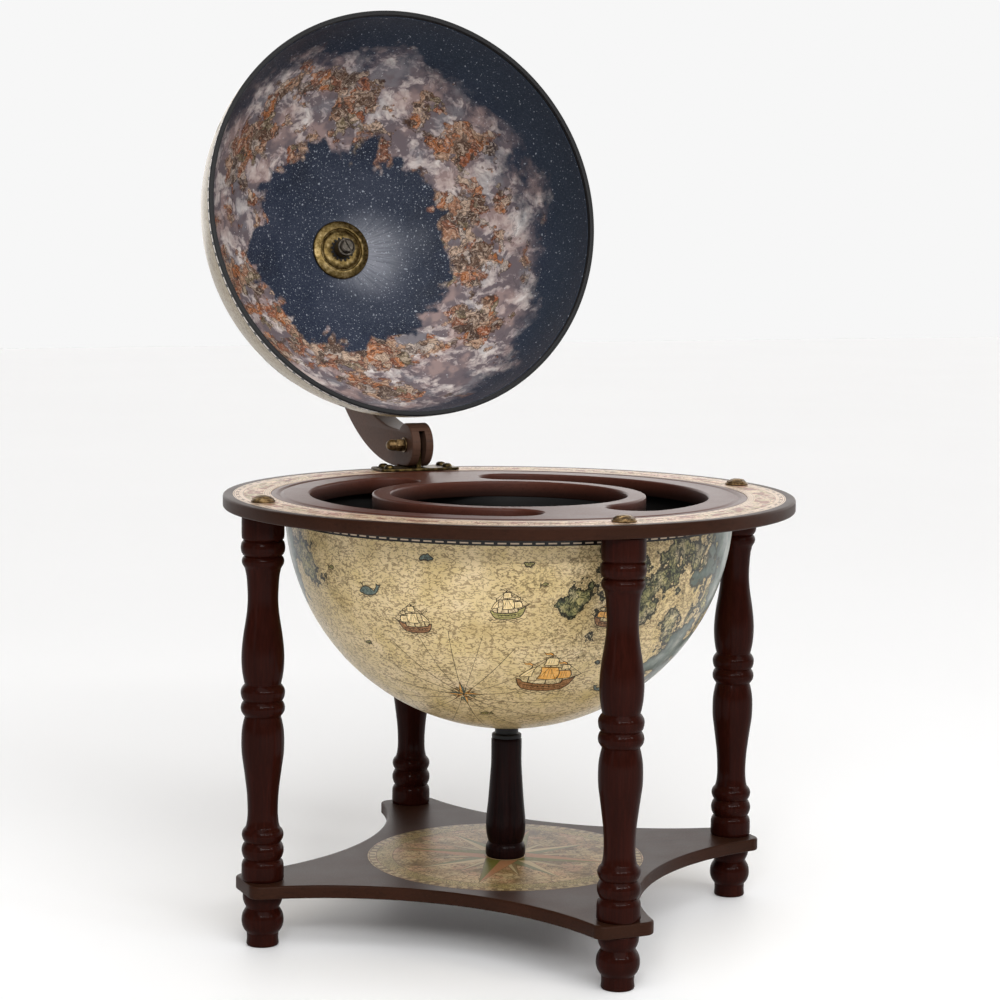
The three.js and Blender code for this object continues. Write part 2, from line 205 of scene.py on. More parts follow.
def inset(poly, d):
    """A closed outline moved into the material by d: outlines run counter-clockwise, holes clockwise."""
    p = np.array(poly, float)
    a, b = p - np.roll(p, 1, 0), np.roll(p, -1, 0) - p
    a /= np.maximum(np.linalg.norm(a, axis=1, keepdims=True), 1e-9)
    b /= np.maximum(np.linalg.norm(b, axis=1, keepdims=True), 1e-9)
    na, nb = np.stack([-a[:, 1], a[:, 0]], 1), np.stack([-b[:, 1], b[:, 0]], 1)
    m = na + nb
    m /= np.maximum(np.linalg.norm(m, axis=1, keepdims=True), 1e-9)
    c = np.maximum((m * na).sum(1, keepdims=True), 0.45)
    return (p + m * d / c).tolist()


def slab(outer, holes, z0, z1, r0=0.8, r1=1.2, seg=4, outer_rows=None):
    """A flat board with rounded edges. outer_rows gives the outside edge's own rings, bottom to top.
    Returns points, faces and the flat faces' numbers."""
    outer = list(outer) if area(outer) > 0 else list(outer)[::-1]
    holes = [list(h) if area(h) < 0 else list(h)[::-1] for h in holes]
    rows = []
    for k in range(seg + 1):
        a = math.pi / 2 * k / seg
        rows.append((r0 * (1 - math.sin(a)), z0 + r0 * (1 - math.cos(a))))
    for k in range(seg + 1):
        a = math.pi / 2 * k / seg
        rows.append((r1 * (1 - math.cos(a)), z1 - r1 * (1 - math.sin(a))))
    verts, faces, flat = [], [], []
    bottom, top = [], []
    for i, loop in enumerate([outer] + holes):
        n = len(loop)
        rings = outer_rows if i == 0 and outer_rows else [[(x, y, z) for x, y in inset(loop, d)] for d, z in rows]
        index = []
        for ring in rings:
            index.append(range(len(verts), len(verts) + n))
            verts += [tuple(p) for p in ring]
        for a, b in zip(index, index[1:]):
            for k in range(n):
                faces.append((a[k], a[(k + 1) % n], b[(k + 1) % n], b[k]))
        bottom.append(list(index[0]))
        top.append(list(index[-1]))
    for loops, up in ((bottom, False), (top, True)):
        ids = [i for l in loops for i in l]
        tris = geometry.tessellate_polygon([[Vector((verts[i][0], verts[i][1], 0)) for i in l] for l in loops])
        for t in tris:
            q = [ids[i] for i in t]
            if len(set(q)) < 3:
                continue
            flat.append(len(faces))
            faces.append(tuple(q))
    return verts, faces, flat


def cut(ob, *shapes):
    """Cuts closed shapes (stand frame, millimetres) out of a piece and keeps the result as its mesh."""
    for k, (v, f) in enumerate(shapes):
        mesh = bpy.data.meshes.new("cutter")
        mesh.from_pydata([(x * MM, (y + Y_SHIFT) * MM, z * MM) for x, y, z in v], [], [tuple(q) for q in f])
        bm = bmesh.new()
        bm.from_mesh(mesh)
        bmesh.ops.recalc_face_normals(bm, faces=bm.faces)
        bm.to_mesh(mesh)
        bm.free()
        tool = bpy.data.objects.new("cutter", mesh)
        bpy.context.scene.collection.objects.link(tool)
        mod = ob.modifiers.new("cut", "BOOLEAN")
        mod.operation, mod.solver, mod.object = "DIFFERENCE", "EXACT", tool
        bpy.context.view_layer.update()
        done = bpy.data.meshes.new_from_object(ob.evaluated_get(bpy.context.evaluated_depsgraph_get()))
        ob.modifiers.clear()
        old = ob.data
        ob.data = done
        done.name = ob.name
        bpy.data.meshes.remove(old)
        bpy.data.objects.remove(tool)
        bpy.data.meshes.remove(mesh)
        ob.data.shade_smooth()
        ob.data.set_sharp_from_angle(angle=math.radians(25))
    return ob


# --------------------------------------------------------------- material tools
class Look:
    def __init__(self, name, **values):
        self.mat = bpy.data.materials.new(name)
        self.mat.use_nodes = True
        self.tree = self.mat.node_tree
        for n in list(self.tree.nodes):
            self.tree.nodes.remove(n)
        self.out = self.node("ShaderNodeOutputMaterial")
        self.shader = self.node("ShaderNodeBsdfPrincipled")
        self.tree.links.new(self.shader.outputs["BSDF"], self.out.inputs["Surface"])
        self.place = self.node("ShaderNodeTexCoord").outputs["Object"]
        for k, v in values.items():
            self.set(k.replace("_", " "), v)

    def node(self, kind, **props):
        n = self.tree.nodes.new(kind)
        for k, v in props.items():
            setattr(n, k, v)
        return n

    def put(self, socket, value):
        if isinstance(value, bpy.types.NodeSocket):
            self.tree.links.new(value, socket)
        elif hasattr(socket, "default_value"):
            try:
                socket.default_value = value
            except (TypeError, ValueError):
                socket.default_value = tuple(value) + (1.0,)

    def set(self, name, value):
        names = {"Base": "Base Color", "Coat": "Coat Weight", "Specular": "Specular IOR Level"}
        self.put(self.shader.inputs[names.get(name, name)], value)

    def math(self, op, a, b=0.0, c=0.0, clamp=False):
        n = self.node("ShaderNodeMath", operation=op, use_clamp=clamp)
        self.put(n.inputs[0], a)
        self.put(n.inputs[1], b)
        if len(n.inputs) > 2:
            self.put(n.inputs[2], c)
        return n.outputs[0]

    def add(self, a, b): return self.math("ADD", a, b)
    def sub(self, a, b): return self.math("SUBTRACT", a, b)
    def mul(self, a, b): return self.math("MULTIPLY", a, b)
    def div(self, a, b): return self.math("DIVIDE", a, b)
    def low(self, a, b): return self.math("MINIMUM", a, b)
    def high(self, a, b): return self.math("MAXIMUM", a, b)

    def vec(self, op, a, b=(0, 0, 0), scale=1.0):
        n = self.node("ShaderNodeVectorMath", operation=op)
        self.put(n.inputs[0], a)
        if op == "SCALE":
            self.put(n.inputs[3], scale)
        elif op not in ("LENGTH", "NORMALIZE"):
            self.put(n.inputs[1], b)
        return n.outputs["Value"] if op in ("LENGTH", "DOT_PRODUCT", "DISTANCE") else n.outputs["Vector"]

    def turn(self, v, axis, angle):
        n = self.node("ShaderNodeVectorRotate", rotation_type="AXIS_ANGLE")
        self.put(n.inputs["Vector"], v)
        n.inputs["Axis"].default_value = axis
        n.inputs["Angle"].default_value = angle
        return n.outputs[0]

    def parts(self, v):
        n = self.node("ShaderNodeSeparateXYZ")
        self.put(n.inputs[0], v)
        return n.outputs[0], n.outputs[1], n.outputs[2]

    def xyz(self, x, y, z):
        n = self.node("ShaderNodeCombineXYZ")
        for s, v in zip(n.inputs, (x, y, z)):
            self.put(s, v)
        return n.outputs[0]

    def step(self, v, lo, hi, a=0.0, b=1.0, smooth=True):
        n = self.node("ShaderNodeMapRange", interpolation_type="SMOOTHSTEP" if smooth else "LINEAR", clamp=True)
        for s, x in zip((0, 1, 2, 3, 4), (v, lo, hi, a, b)):
            self.put(n.inputs[s], x)
        return n.outputs[0]

    def mix(self, f, a, b, kind="MIX"):
        n = self.node("ShaderNodeMix", data_type="RGBA", blend_type=kind, clamp_factor=True)
        self.put(n.inputs[0], f)
        for i, x in ((6, a), (7, b)):
            self.put(n.inputs[i], x if isinstance(x, bpy.types.NodeSocket) or len(x) == 4 else tuple(x) + (1.0,))
        return n.outputs[2]

    def ramp(self, f, stops, ease="LINEAR"):
        n = self.node("ShaderNodeValToRGB")
        n.color_ramp.interpolation = ease
        e = n.color_ramp.elements
        while len(e) < len(stops):
            e.new(0.5)
        for s, (p, c) in zip(e, stops):
            s.position, s.color = p, tuple(c) + (1.0,)
        self.put(n.inputs[0], f)
        return n.outputs[0]

    def noise(self, v, scale, detail=3.0, rough=0.5, warp=0.0, color=False, kind="FBM"):
        n = self.node("ShaderNodeTexNoise", noise_dimensions="3D")
        self.put(n.inputs["Vector"], v)
        for k, x in (("Scale", scale), ("Detail", detail), ("Roughness", rough), ("Distortion", warp)):
            self.put(n.inputs[k], x)
        return n.outputs["Color" if color else "Fac"]

    def cells(self, v, scale, feature="F1", out="Distance", random_=1.0, dims="3D", smooth=0.5):
        n = self.node("ShaderNodeTexVoronoi", voronoi_dimensions=dims, feature=feature)
        self.put(n.inputs["Vector"], v)
        n.inputs["Scale"].default_value = scale
        n.inputs["Randomness"].default_value = random_
        if feature == "SMOOTH_F1":
            n.inputs["Smoothness"].default_value = smooth
        return n.outputs[out]

    def bump(self, height, strength=0.3, distance=0.0002, normal=None):
        n = self.node("ShaderNodeBump")
        n.inputs["Strength"].default_value = strength
        n.inputs["Distance"].default_value = distance
        self.put(n.inputs["Height"], height)
        if normal is not None:
            self.put(n.inputs["Normal"], normal)
        return n.outputs[0]


def srgb(r, g, b):
    return tuple((c / 255 / 12.92) if c / 255 <= 0.04045 else ((c / 255 + 0.055) / 1.055) ** 2.4 for c in (r, g, b))


# -------------------------------------------------------------------- materials
def board_look(name="board_lacquer", painted_wall_shade=False, shades=((43, 24, 15), (52, 29, 19), (34, 18, 11), (74, 46, 32)), gloss=(1.12, 0.1)):
    """Satin lacquered board: fine mottling, faint streaks and a pore texture. Cut walls can get painted shade, darker
    downwards.
    """
    m = Look(name, IOR=gloss[0], Coat=gloss[1], Coat_Roughness=0.26, Coat_IOR=1.3)
    p = m.vec("SCALE", m.place, scale=1000.0)
    big = m.noise(p, 0.018, 3, 0.55)
    fine = m.noise(p, 0.9, 4, 0.65)
    streak = m.noise(m.vec("MULTIPLY", p, (0.02, 0.5, 0.5)), 1.0, 4, 0.6)
    c = m.ramp(big, [(0.3, srgb(*shades[0])), (0.7, srgb(*shades[1]))])
    c = m.mix(m.mul(m.step(streak, 0.48, 0.7), 0.5), c, srgb(*shades[2]))
    c = m.mix(m.mul(m.step(fine, 0.54, 0.75), 0.3), c, srgb(*shades[3]))
    if painted_wall_shade:
        # painted shade: the cut walls darken towards near black downwards
        c = m.mix(m.step(m.parts(p)[2], 309.0, 319.0, 0.82, 0.0), c, srgb(9, 6, 5))
    m.set("Base", c)
    m.set("Roughness", m.step(m.add(m.mul(fine, 0.5), m.mul(big, 0.5)), 0.3, 0.7, 0.4, 0.52))
    m.set("Normal", m.bump(m.add(m.mul(fine, 0.5), m.mul(m.noise(p, 2.5, 2, 0.5), 0.5)), 0.2, 0.00012))
    return m.mat


def leg_look():
    """Dark red-brown stained turned wood with a satin coat: streaks along the grain and faint turning lines."""
    m = Look("leg_stain", IOR=1.06, Coat=0.2, Coat_Roughness=0.1, Coat_IOR=1.28)
    p = m.vec("SCALE", m.place, scale=1000.0)
    grain = m.noise(m.vec("MULTIPLY", p, (0.55, 0.55, 0.018)), 1.0, 5, 0.62, 0.4)
    broad = m.noise(m.vec("MULTIPLY", p, (0.09, 0.09, 0.004)), 1.0, 3, 0.5)
    pores = m.noise(m.vec("MULTIPLY", p, (1.6, 1.6, 0.06)), 1.0, 3, 0.6)
    lines = m.noise(m.vec("MULTIPLY", p, (0.02, 0.02, 2.2)), 1.0, 2, 0.5)
    c = m.ramp(m.add(m.mul(grain, 0.6), m.mul(broad, 0.4)), [(0.26, srgb(29, 9, 6)), (0.48, srgb(37, 12, 7)), (0.7, srgb(48, 17, 11))])
    c = m.mix(m.mul(m.step(pores, 0.58, 0.7), 0.28), c, srgb(26, 9, 7))
    m.set("Base", c)
    m.set("Roughness", m.step(grain, 0.3, 0.75, 0.3, 0.42))
    m.set("Normal", m.bump(m.add(m.mul(pores, 0.7), m.mul(lines, 0.3)), 0.14, 0.00012))
    return m.mat


def pillar_look():
    m = Look("pillar_stain", IOR=1.08, Coat=0.16, Coat_Roughness=0.16, Coat_IOR=1.28)
    p = m.vec("SCALE", m.place, scale=1000.0)
    grain = m.noise(m.vec("MULTIPLY", p, (0.5, 0.5, 0.02)), 1.0, 5, 0.6, 0.3)
    pores = m.noise(m.vec("MULTIPLY", p, (1.6, 1.6, 0.06)), 1.0, 3, 0.6)
    c = m.ramp(grain, [(0.3, srgb(15, 8, 8)), (0.72, srgb(32, 15, 14))])
    c = m.mix(m.mul(m.step(pores, 0.58, 0.7), 0.5), c, srgb(12, 6, 6))
    m.set("Base", c)
    m.set("Roughness", m.step(grain, 0.3, 0.75, 0.32, 0.42))
    m.set("Normal", m.bump(grain, 0.12, 0.0001))
    return m.mat


def plastic_look():
    m = Look("black_trim", IOR=1.35)
    p = m.vec("SCALE", m.place, scale=1000.0)
    n = m.noise(p, 0.6, 4, 0.6)
    m.set("Base", m.ramp(n, [(0.3, srgb(15, 15, 16)), (0.75, srgb(34, 34, 36))]))
    m.set("Roughness", m.step(n, 0.3, 0.7, 0.42, 0.6))
    m.set("Normal", m.bump(m.noise(p, 2.2, 2, 0.5), 0.2, 0.0001))
    return m.mat


def brass_look(name, dark, mid, light, hammer=0.0, rough=(0.28, 0.5), metal=1.0, dent=0.5):
    """Aged brass: dark patina in patches, rubbed lighter elsewhere."""
    m = Look(name, Metallic=metal)
    p = m.vec("SCALE", m.place, scale=1000.0)
    patch = m.noise(p, 0.28, 4, 0.62)
    speck = m.noise(p, 1.6, 3, 0.7)
    c = m.ramp(m.add(m.mul(patch, 0.75), m.mul(speck, 0.25)), [(0.36, dark), (0.5, mid), (0.66, light)])
    m.set("Base", c)
    m.set("Roughness", m.step(m.add(m.mul(patch, 0.5), m.mul(speck, 0.5)), 0.35, 0.65, rough[0], rough[1]))
    h = m.mul(speck, 0.3)
    if hammer:
        h = m.add(h, m.mul(m.cells(p, 0.45, "SMOOTH_F1", smooth=0.6), hammer))
    m.set("Normal", m.bump(h, dent, 0.0004))
    return m.mat


def steel_look():
    m = Look("screw_steel", Metallic=1.0)
    p = m.vec("SCALE", m.place, scale=1000.0)
    n = m.noise(m.vec("MULTIPLY", p, (0.3, 3.0, 0.3)), 1.0, 3, 0.6)
    m.set("Base", m.ramp(n, [(0.3, srgb(150, 146, 138)), (0.7, srgb(190, 188, 182))]))
    m.set("Roughness", m.step(n, 0.3, 0.7, 0.28, 0.42))
    m.set("Normal", m.bump(n, 0.1, 0.0001))
    return m.mat


def blob(m, n, direction, reach, squash=None):
    """How far inside a round patch of the globe a point is, in radians of arc, about."""
    d = Vector(direction).normalized()
    return m.sub(m.vec("DOT_PRODUCT", n, tuple(d)), math.cos(math.radians(reach)))


def worms(m, v, scale, lines, width, seed, gate_scale, gate=0.5):
    """Short curled pen strokes: broken contour lines of a noise field. scale in 1/mm, width a share of the spacing."""
    w = m.vec("ADD", v, seed)
    f = m.noise(w, scale, 1.0, 0.5, 0.6)
    l = m.step(m.math("ABSOLUTE", m.sub(m.math("FRACT", m.mul(f, lines)), 0.5)), width * 0.6, width * 1.25, 1.0, 0.0)
    g = m.step(m.noise(m.vec("ADD", w, (13, 71, 29)), gate_scale, 1.5, 0.6), gate - 0.03, gate + 0.03)
    return m.mul(l, g)


def strokes(m, v, cell, width, seed, gate_scale, gate):
    """Short crooked pen strokes of an even width: the broken net between bent cells. cell and width in mm."""
    w = m.vec("ADD", v, seed)
    bent = m.vec("ADD", w, m.vec("SCALE", m.vec("SUBTRACT", m.noise(w, 0.9 / cell, 2, 0.6, color=True), (0.5, 0.5, 0.5)), scale=1.9 * cell))
    l = m.step(m.cells(bent, 1.0 / cell, "DISTANCE_TO_EDGE", "Distance"), 0.3 * width / cell, 0.62 * width / cell, 1.0, 0.0)
    return m.mul(l, m.step(m.noise(m.vec("ADD", w, (13, 71, 29)), gate_scale, 1.5, 0.6), gate - 0.025, gate + 0.025))


def globe_look(name, centre, tilt, lands, seas, seed, band, dashes, painted_side_shade=0.0, white=(192, 170, 146)):
    """Antique style map print: parchment, pen scribbles, invented land, slate water and a rim scale."""
    m = Look(name, IOR=1.25, Coat=0.4, Coat_Roughness=0.2, Coat_IOR=1.38)
    p = m.vec("SCALE", m.vec("SUBTRACT", m.place, tuple(c * MM for c in (centre[0], centre[1] + Y_SHIFT, centre[2]))), scale=1000.0)
    if tilt:
        p = m.turn(p, (1, 0, 0), tilt)
    n = m.vec("NORMALIZE", p)
    x, y, z = m.parts(p)
    q = m.vec("ADD", p, (seed, seed * 0.7, seed * 1.3))
    # paper
    big = m.noise(q, 0.012, 3, 0.55)
    mid = m.noise(q, 0.045, 4, 0.6)
    fine = m.noise(q, 0.8, 3, 0.65)
    tone = m.add(m.mul(big, 0.5), m.mul(mid, 0.5))
    paper = m.ramp(tone, [(0.34, srgb(193, 169, 118)), (0.46, srgb(209, 186, 138)), (0.57, srgb(220, 198, 155)), (0.68, srgb(216, 194, 162))])
    paper = m.mix(m.mul(m.step(m.noise(m.vec("ADD", q, (60, 4, 8)), 0.03, 3, 0.6), 0.5, 0.64), 0.35), paper, srgb(206, 182, 118))
    paper = m.mix(m.mul(m.step(fine, 0.48, 0.78), 0.22), paper, srgb(176, 150, 100))
    # painted shade: the paper turns grey towards one side of the globe
    if painted_side_shade:
        paper = m.mix(m.mul(m.step(m.vec("DOT_PRODUCT", n, (-0.94, 0.34, 0.0)), 0.3, 0.92), painted_side_shade), paper, srgb(130, 121, 108))
    # pen scribbles in two overlaid hands
    wide = m.vec("MULTIPLY", q, (0.75, 0.75, 1.35))
    ink = m.high(strokes(m, wide, 5.6, 0.88, (0, 0, 0), 0.42, 0.48), strokes(m, wide, 4.8, 0.76, (40, 11, 5), 0.5, 0.52))
    calm = m.step(m.noise(m.vec("ADD", q, (5, 77, 13)), 0.026, 2, 0.5), 0.38, 0.58, 0.82, 1.0)
    ink = m.mul(ink, calm)
    c = m.mix(m.mul(ink, 0.7), paper, m.ramp(mid, [(0.4, srgb(84, 64, 38)), (0.62, srgb(112, 86, 56))]))
    rule = m.math("ABSOLUTE", m.sub(m.math("FRACT", m.add(m.mul(m.parts(q)[2], 0.115), m.mul(m.noise(q, 0.02, 1, 0.5), 0.3))), 0.5))
    c = m.mix(m.mul(m.mul(m.step(rule, 0.018, 0.03, 1.0, 0.0), m.step(m.noise(q, 0.06, 2, 0.5), 0.5, 0.56)), 0.4), c, srgb(120, 98, 68))
    # land and sea fields
    edge = m.add(m.mul(m.sub(m.noise(q, 0.026, 5, 0.62), 0.5), 0.27), m.mul(m.sub(m.noise(q, 0.11, 3, 0.6), 0.5), 0.06))
    land = None
    for d, reach in lands:
        b = blob(m, n, d, reach)
        land = b if land is None else m.high(land, b)
    land = m.add(land, edge)
    sea = None
    for d, reach in seas:
        b = blob(m, n, d, reach)
        sea = b if sea is None else m.high(sea, b)
    sea = m.add(sea, m.add(m.mul(m.sub(m.noise(m.vec("ADD", q, (9, 9, 9)), 0.022, 4, 0.55), 0.5), 0.26), m.mul(m.sub(m.noise(m.vec("ADD", q, (3, 2, 9)), 0.09, 3, 0.6), 0.5), 0.05)))
    # land: olive and straw washes, ranges of short dark strokes, a dark shaded coast
    body = m.ramp(m.noise(m.vec("ADD", q, (77, 1, 1)), 0.05, 3, 0.6), [(0.34, srgb(150, 146, 96)), (0.46, srgb(196, 182, 120)), (0.56, srgb(218, 200, 152)), (0.68, srgb(224, 198, 164))])
    relief = m.high(worms(m, m.vec("MULTIPLY", q, (1.0, 1.0, 1.5)), 0.14, 6.5, 0.19, (2, 3, 55), 0.12, 0.44),
                    worms(m, m.vec("MULTIPLY", q, (1.0, 1.0, 0.7)), 0.26, 3.4, 0.17, (52, 3, 5), 0.3, 0.47))
    body = m.mix(m.mul(relief, 0.85), body, srgb(40, 42, 26))
    inside = m.step(land, 0.0, 0.005)
    c = m.mix(inside, c, body)
    wash = m.mul(m.step(land, 0.0, 0.06, 1.0, 0.0), inside)
    hatch = m.step(m.noise(m.vec("MULTIPLY", q, (0.5, 0.5, 0.16)), 1.0, 3, 0.7), 0.36, 0.6, 0.45, 1.0)
    c = m.mix(m.mul(m.mul(wash, hatch), 0.95), c, srgb(36, 46, 36))
    line = m.step(m.math("ABSOLUTE", m.sub(land, 0.003)), 0.003, 0.0065, 1.0, 0.0)
    c = m.mix(m.mul(line, 0.92), c, srgb(24, 24, 18))
    wave = m.mul(m.step(m.math("ABSOLUTE", m.sub(m.math("FRACT", m.mul(land, 62.0)), 0.5)), 0.12, 0.26, 1.0, 0.0),
                 m.mul(m.step(land, -0.06, -0.01), m.step(land, -0.004, 0.0, 1.0, 0.0)))
    wave = m.mul(wave, m.step(m.noise(q, 0.3, 1, 0.5), 0.4, 0.5, 0.2, 1.0))
    c = m.mix(m.mul(wave, 0.6), c, srgb(88, 74, 44))
    # slate water with a dark green shore
    slate = m.ramp(m.noise(m.vec("ADD", q, (1, 22, 3)), 0.05, 4, 0.65), [(0.32, srgb(98, 110, 106)), (0.5, srgb(134, 143, 136)), (0.7, srgb(178, 176, 164))])
    slate = m.mix(m.mul(m.step(fine, 0.5, 0.75), 0.3), slate, srgb(84, 98, 98))
    in_sea = m.step(sea, -0.004, 0.006)
    c = m.mix(m.mul(in_sea, 0.95), c, slate)
    c = m.mix(m.mul(m.mul(m.step(sea, 0.0, 0.05, 1.0, 0.0), in_sea), 0.8), c, srgb(44, 62, 50))
    c = m.mix(m.mul(m.step(m.math("ABSOLUTE", sea), 0.002, 0.005, 1.0, 0.0), 0.8), c, srgb(26, 30, 24))
    # fine meridians and parallels
    lon = m.math("ARCTAN2", y, x)
    rad = m.vec("LENGTH", p)
    lat = m.math("ARCSINE", m.math("DIVIDE", z, rad))
    ml = m.step(m.math("ABSOLUTE", m.sub(m.math("FRACT", m.mul(lon, 12 / math.pi)), 0.5)), 0.4955, 0.4985)
    pl = m.step(m.math("ABSOLUTE", m.sub(m.math("FRACT", m.mul(lat, 12 / math.pi)), 0.5)), 0.4955, 0.4985)
    c = m.mix(m.mul(m.high(ml, pl), 0.4), c, srgb(116, 94, 58))
    # rim scale: black, white dashes every three degrees, black line
    t = m.math("ABSOLUTE", z)
    band = m.step(t, band, band + 0.15, 1.0, 0.0)
    dash = m.step(m.math("ABSOLUTE", m.sub(m.math("FRACT", m.mul(lon, 60 / math.pi)), 0.5)), 0.335, 0.355, 1.0, 0.0)
    row = m.mul(m.step(t, dashes[0], dashes[0] + 0.15), m.step(t, dashes[1], dashes[1] + 0.15, 1.0, 0.0))
    scale = m.mix(m.mul(dash, row), srgb(15, 12, 10), srgb(*white))
    c = m.mix(band, c, scale)
    m.set("Base", c)
    m.set("Roughness", m.step(m.add(m.mul(fine, 0.5), m.mul(mid, 0.5)), 0.3, 0.7, 0.34, 0.48))
    m.set("Normal", m.bump(m.add(m.mul(fine, 0.5), m.mul(ink, 0.12)), 0.08, 0.0001))
    return m.mat


def lining_look():
    """Night sky print: a star field round the pole, billowing clouds with ochre folds, and star field to the rim."""
    m = Look("sky_print", IOR=1.2, Coat=0.2, Coat_Roughness=0.25, Coat_IOR=1.33)
    p = m.vec("SCALE", m.vec("SUBTRACT", m.place, tuple(c * MM for c in (LID_C[0], LID_C[1] + Y_SHIFT, LID_C[2]))), scale=1000.0)
    p = m.turn(p, (1, 0, 0), OPEN)
    n = m.vec("NORMALIZE", p)
    x, y, z = m.parts(n)
    ang = m.math("ARCCOSINE", z)
    th = m.math("DEGREES", ang)
    az = m.math("ARCTAN2", y, x)
    flat = m.vec("SCALE", m.xyz(m.math("COSINE", az), m.math("SINE", az), 0.0), scale=m.mul(ang, 161.0))   # the dome laid flat, mm

    # where the clouds begin and end
    lobe = m.math("ABSOLUTE", m.math("SINE", m.add(m.mul(az, 5.5), m.mul(m.noise(p, 0.018, 1, 0.5), 9.0))))
    lobe2 = m.math("ABSOLUTE", m.math("SINE", m.add(m.mul(az, 15.5), m.mul(m.noise(p, 0.03, 1, 0.5), 11.0))))
    tuft = m.sub(m.noise(p, 0.1, 4, 0.62), 0.5)
    e1 = m.add(m.add(m.mul(m.sub(m.noise(m.vec("ADD", p, (7, 7, 7)), 0.022, 2, 0.5), 0.5), 16.0), m.mul(lobe, 5.5)), m.add(m.mul(lobe2, 2.4), m.mul(tuft, 9.0)))
    e2 = m.add(m.mul(m.sub(m.noise(m.vec("ADD", p, (40, 2, 9)), 0.02, 3, 0.6), 0.5), 34.0), m.mul(m.sub(m.noise(m.vec("ADD", p, (4, 2, 90)), 0.085, 4, 0.62), 0.5), 18.0))
    e2 = m.add(e2, m.step(m.math("COSINE", m.sub(az, math.radians(-38.0))), -0.2, 0.9, -2.0, 5.0))
    inner = m.step(m.add(th, e1), 35.6, 38.4)
    outer = m.step(m.add(th, e2), 61.0, 74.0, 1.0, 0.0)
    cloud = m.mul(inner, outer)

    # sky
    sky = m.ramp(m.noise(p, 0.022, 4, 0.6), [(0.3, srgb(32, 38, 52)), (0.5, srgb(42, 50, 67)), (0.72, srgb(56, 62, 78))])
    # painted shade: towards the rim the sky is lighter on one side of the lid and darker on the other
    side = m.math("COSINE", m.sub(az, math.radians(-20.0)))
    sky = m.mix(m.step(th, 52, 80, 0.0, 0.8), sky, m.mix(m.step(side, -0.1, 0.8), srgb(32, 41, 53), srgb(48, 57, 68)))
    # a pale patch with radial streaks just off the pole: partly printed glow, partly a painted reflection of a lamp
    away = (math.sin(math.radians(8.5)) * math.cos(math.radians(10)), math.sin(math.radians(8.5)) * math.sin(math.radians(10)), math.cos(math.radians(8.5)))
    gx = m.vec("DISTANCE", n, away)
    rays = m.noise(m.xyz(m.mul(az, 26.0), m.mul(th, 0.11), 0.0), 1.0, 3, 0.7)
    glow_and_painted_sheen = m.mul(m.step(gx, 0.0, 0.3, 1.0, 0.0), m.step(rays, 0.34, 0.66, 0.35, 1.0))
    sky = m.mix(m.mul(m.step(m.noise(m.vec("ADD", p, (31, 7, 2)), 0.55, 3, 0.65), 0.42, 0.68), 0.3), sky, srgb(78, 84, 100))
    sky = m.mix(m.mul(glow_and_painted_sheen, 0.34), sky, srgb(150, 153, 164))
    sky = m.mix(m.mul(m.mul(m.step(gx, 0.0, 0.29, 1.0, 0.0), m.step(rays, 0.3, 0.62, 0.5, 1.0)), 0.5), sky, srgb(186, 189, 198))

    # stars: cells of the dome laid flat
    loose = m.vec("SUBTRACT", m.noise(flat, 0.13, 2, 0.5, color=True), (0.5, 0.5, 0.5))
    loose = m.vec("ADD", flat, m.vec("SCALE", loose, scale=6.0))   # so the stars stand in no rows

    def stars(cell, radius, keep, shift):
        v = m.vec("ADD", loose, shift)
        d = m.mul(m.cells(v, 1.0 / cell, "F1", "Distance", dims="2D"), cell)
        rnd = m.parts(m.cells(v, 1.0 / cell, "F1", "Color", dims="2D"))
        size = m.step(rnd[0], keep, 1.0, radius * 0.55, radius, smooth=False)
        lum = m.step(rnd[1], 0.0, 1.0, 0.45, 1.0, smooth=False)
        return m.mul(m.mul(m.step(m.div(d, size), 0.4, 1.0, 1.0, 0.0), m.step(rnd[0], keep - 0.01, keep + 0.01)), lum)
    dust = m.mul(m.step(m.noise(flat, 1.1, 2, 0.6), 0.58, 0.7), 0.22)
    near = m.mul(m.high(stars(3.4, 0.58, 0.3, (0, 0, 0)), dust), m.step(th, 34, 50, 1.0, 0.3))
    st = m.high(m.high(near, stars(7.2, 0.84, 0.42, (11, 5, 0))), stars(16.0, 1.25, 0.35, (3, 50, 0)))
    sky = m.mix(m.mul(st, m.step(th, 40, 85, 0.78, 0.7)), sky, srgb(196, 203, 214))

    # clouds, drawn with a light from the upper left
    def billow(v):
        a = m.cells(v, 0.034, "SMOOTH_F1", smooth=0.5)
        b = m.cells(m.vec("ADD", v, (5, 9, 2)), 0.078, "SMOOTH_F1", smooth=0.45)
        f = m.noise(v, 0.042, 6, 0.6)
        return m.add(m.add(m.mul(a, -0.55), m.mul(b, -0.28)), m.mul(f, 0.9))
    bend = m.vec("SCALE", m.vec("SUBTRACT", m.noise(p, 0.035, 3, 0.6, color=True), (0.5, 0.5, 0.5)), scale=30.0)
    w = m.vec("ADD", p, bend)
    h = billow(w)
    h2 = billow(m.vec("ADD", w, (1.6, -2.4, 0.6)))
    lit = m.sub(h, h2)
    shade = m.add(m.mul(h, 0.55), m.mul(lit, 1.7))
    cl = m.ramp(shade, [(-0.06, srgb(118, 107, 111)), (0.05, srgb(160, 147, 148)), (0.15, srgb(196, 183, 179)), (0.28, srgb(222, 212, 207)), (0.44, srgb(240, 234, 230))])
    tintf = m.noise(m.vec("ADD", p, (14, 30, 61)), 0.03, 3, 0.6)
    cl = m.mix(m.mul(m.step(tintf, 0.5, 0.62), 0.5), cl, srgb(194, 166, 158))
    cl = m.mix(m.mul(m.step(tintf, 0.46, 0.36), 0.35), cl, srgb(150, 154, 160))
    sw = worms(m, w, 0.13, 3.4, 0.1, (4, 9, 2), 0.05, 0.54)
    cl = m.mix(m.mul(sw, 0.36), cl, srgb(86, 76, 82))

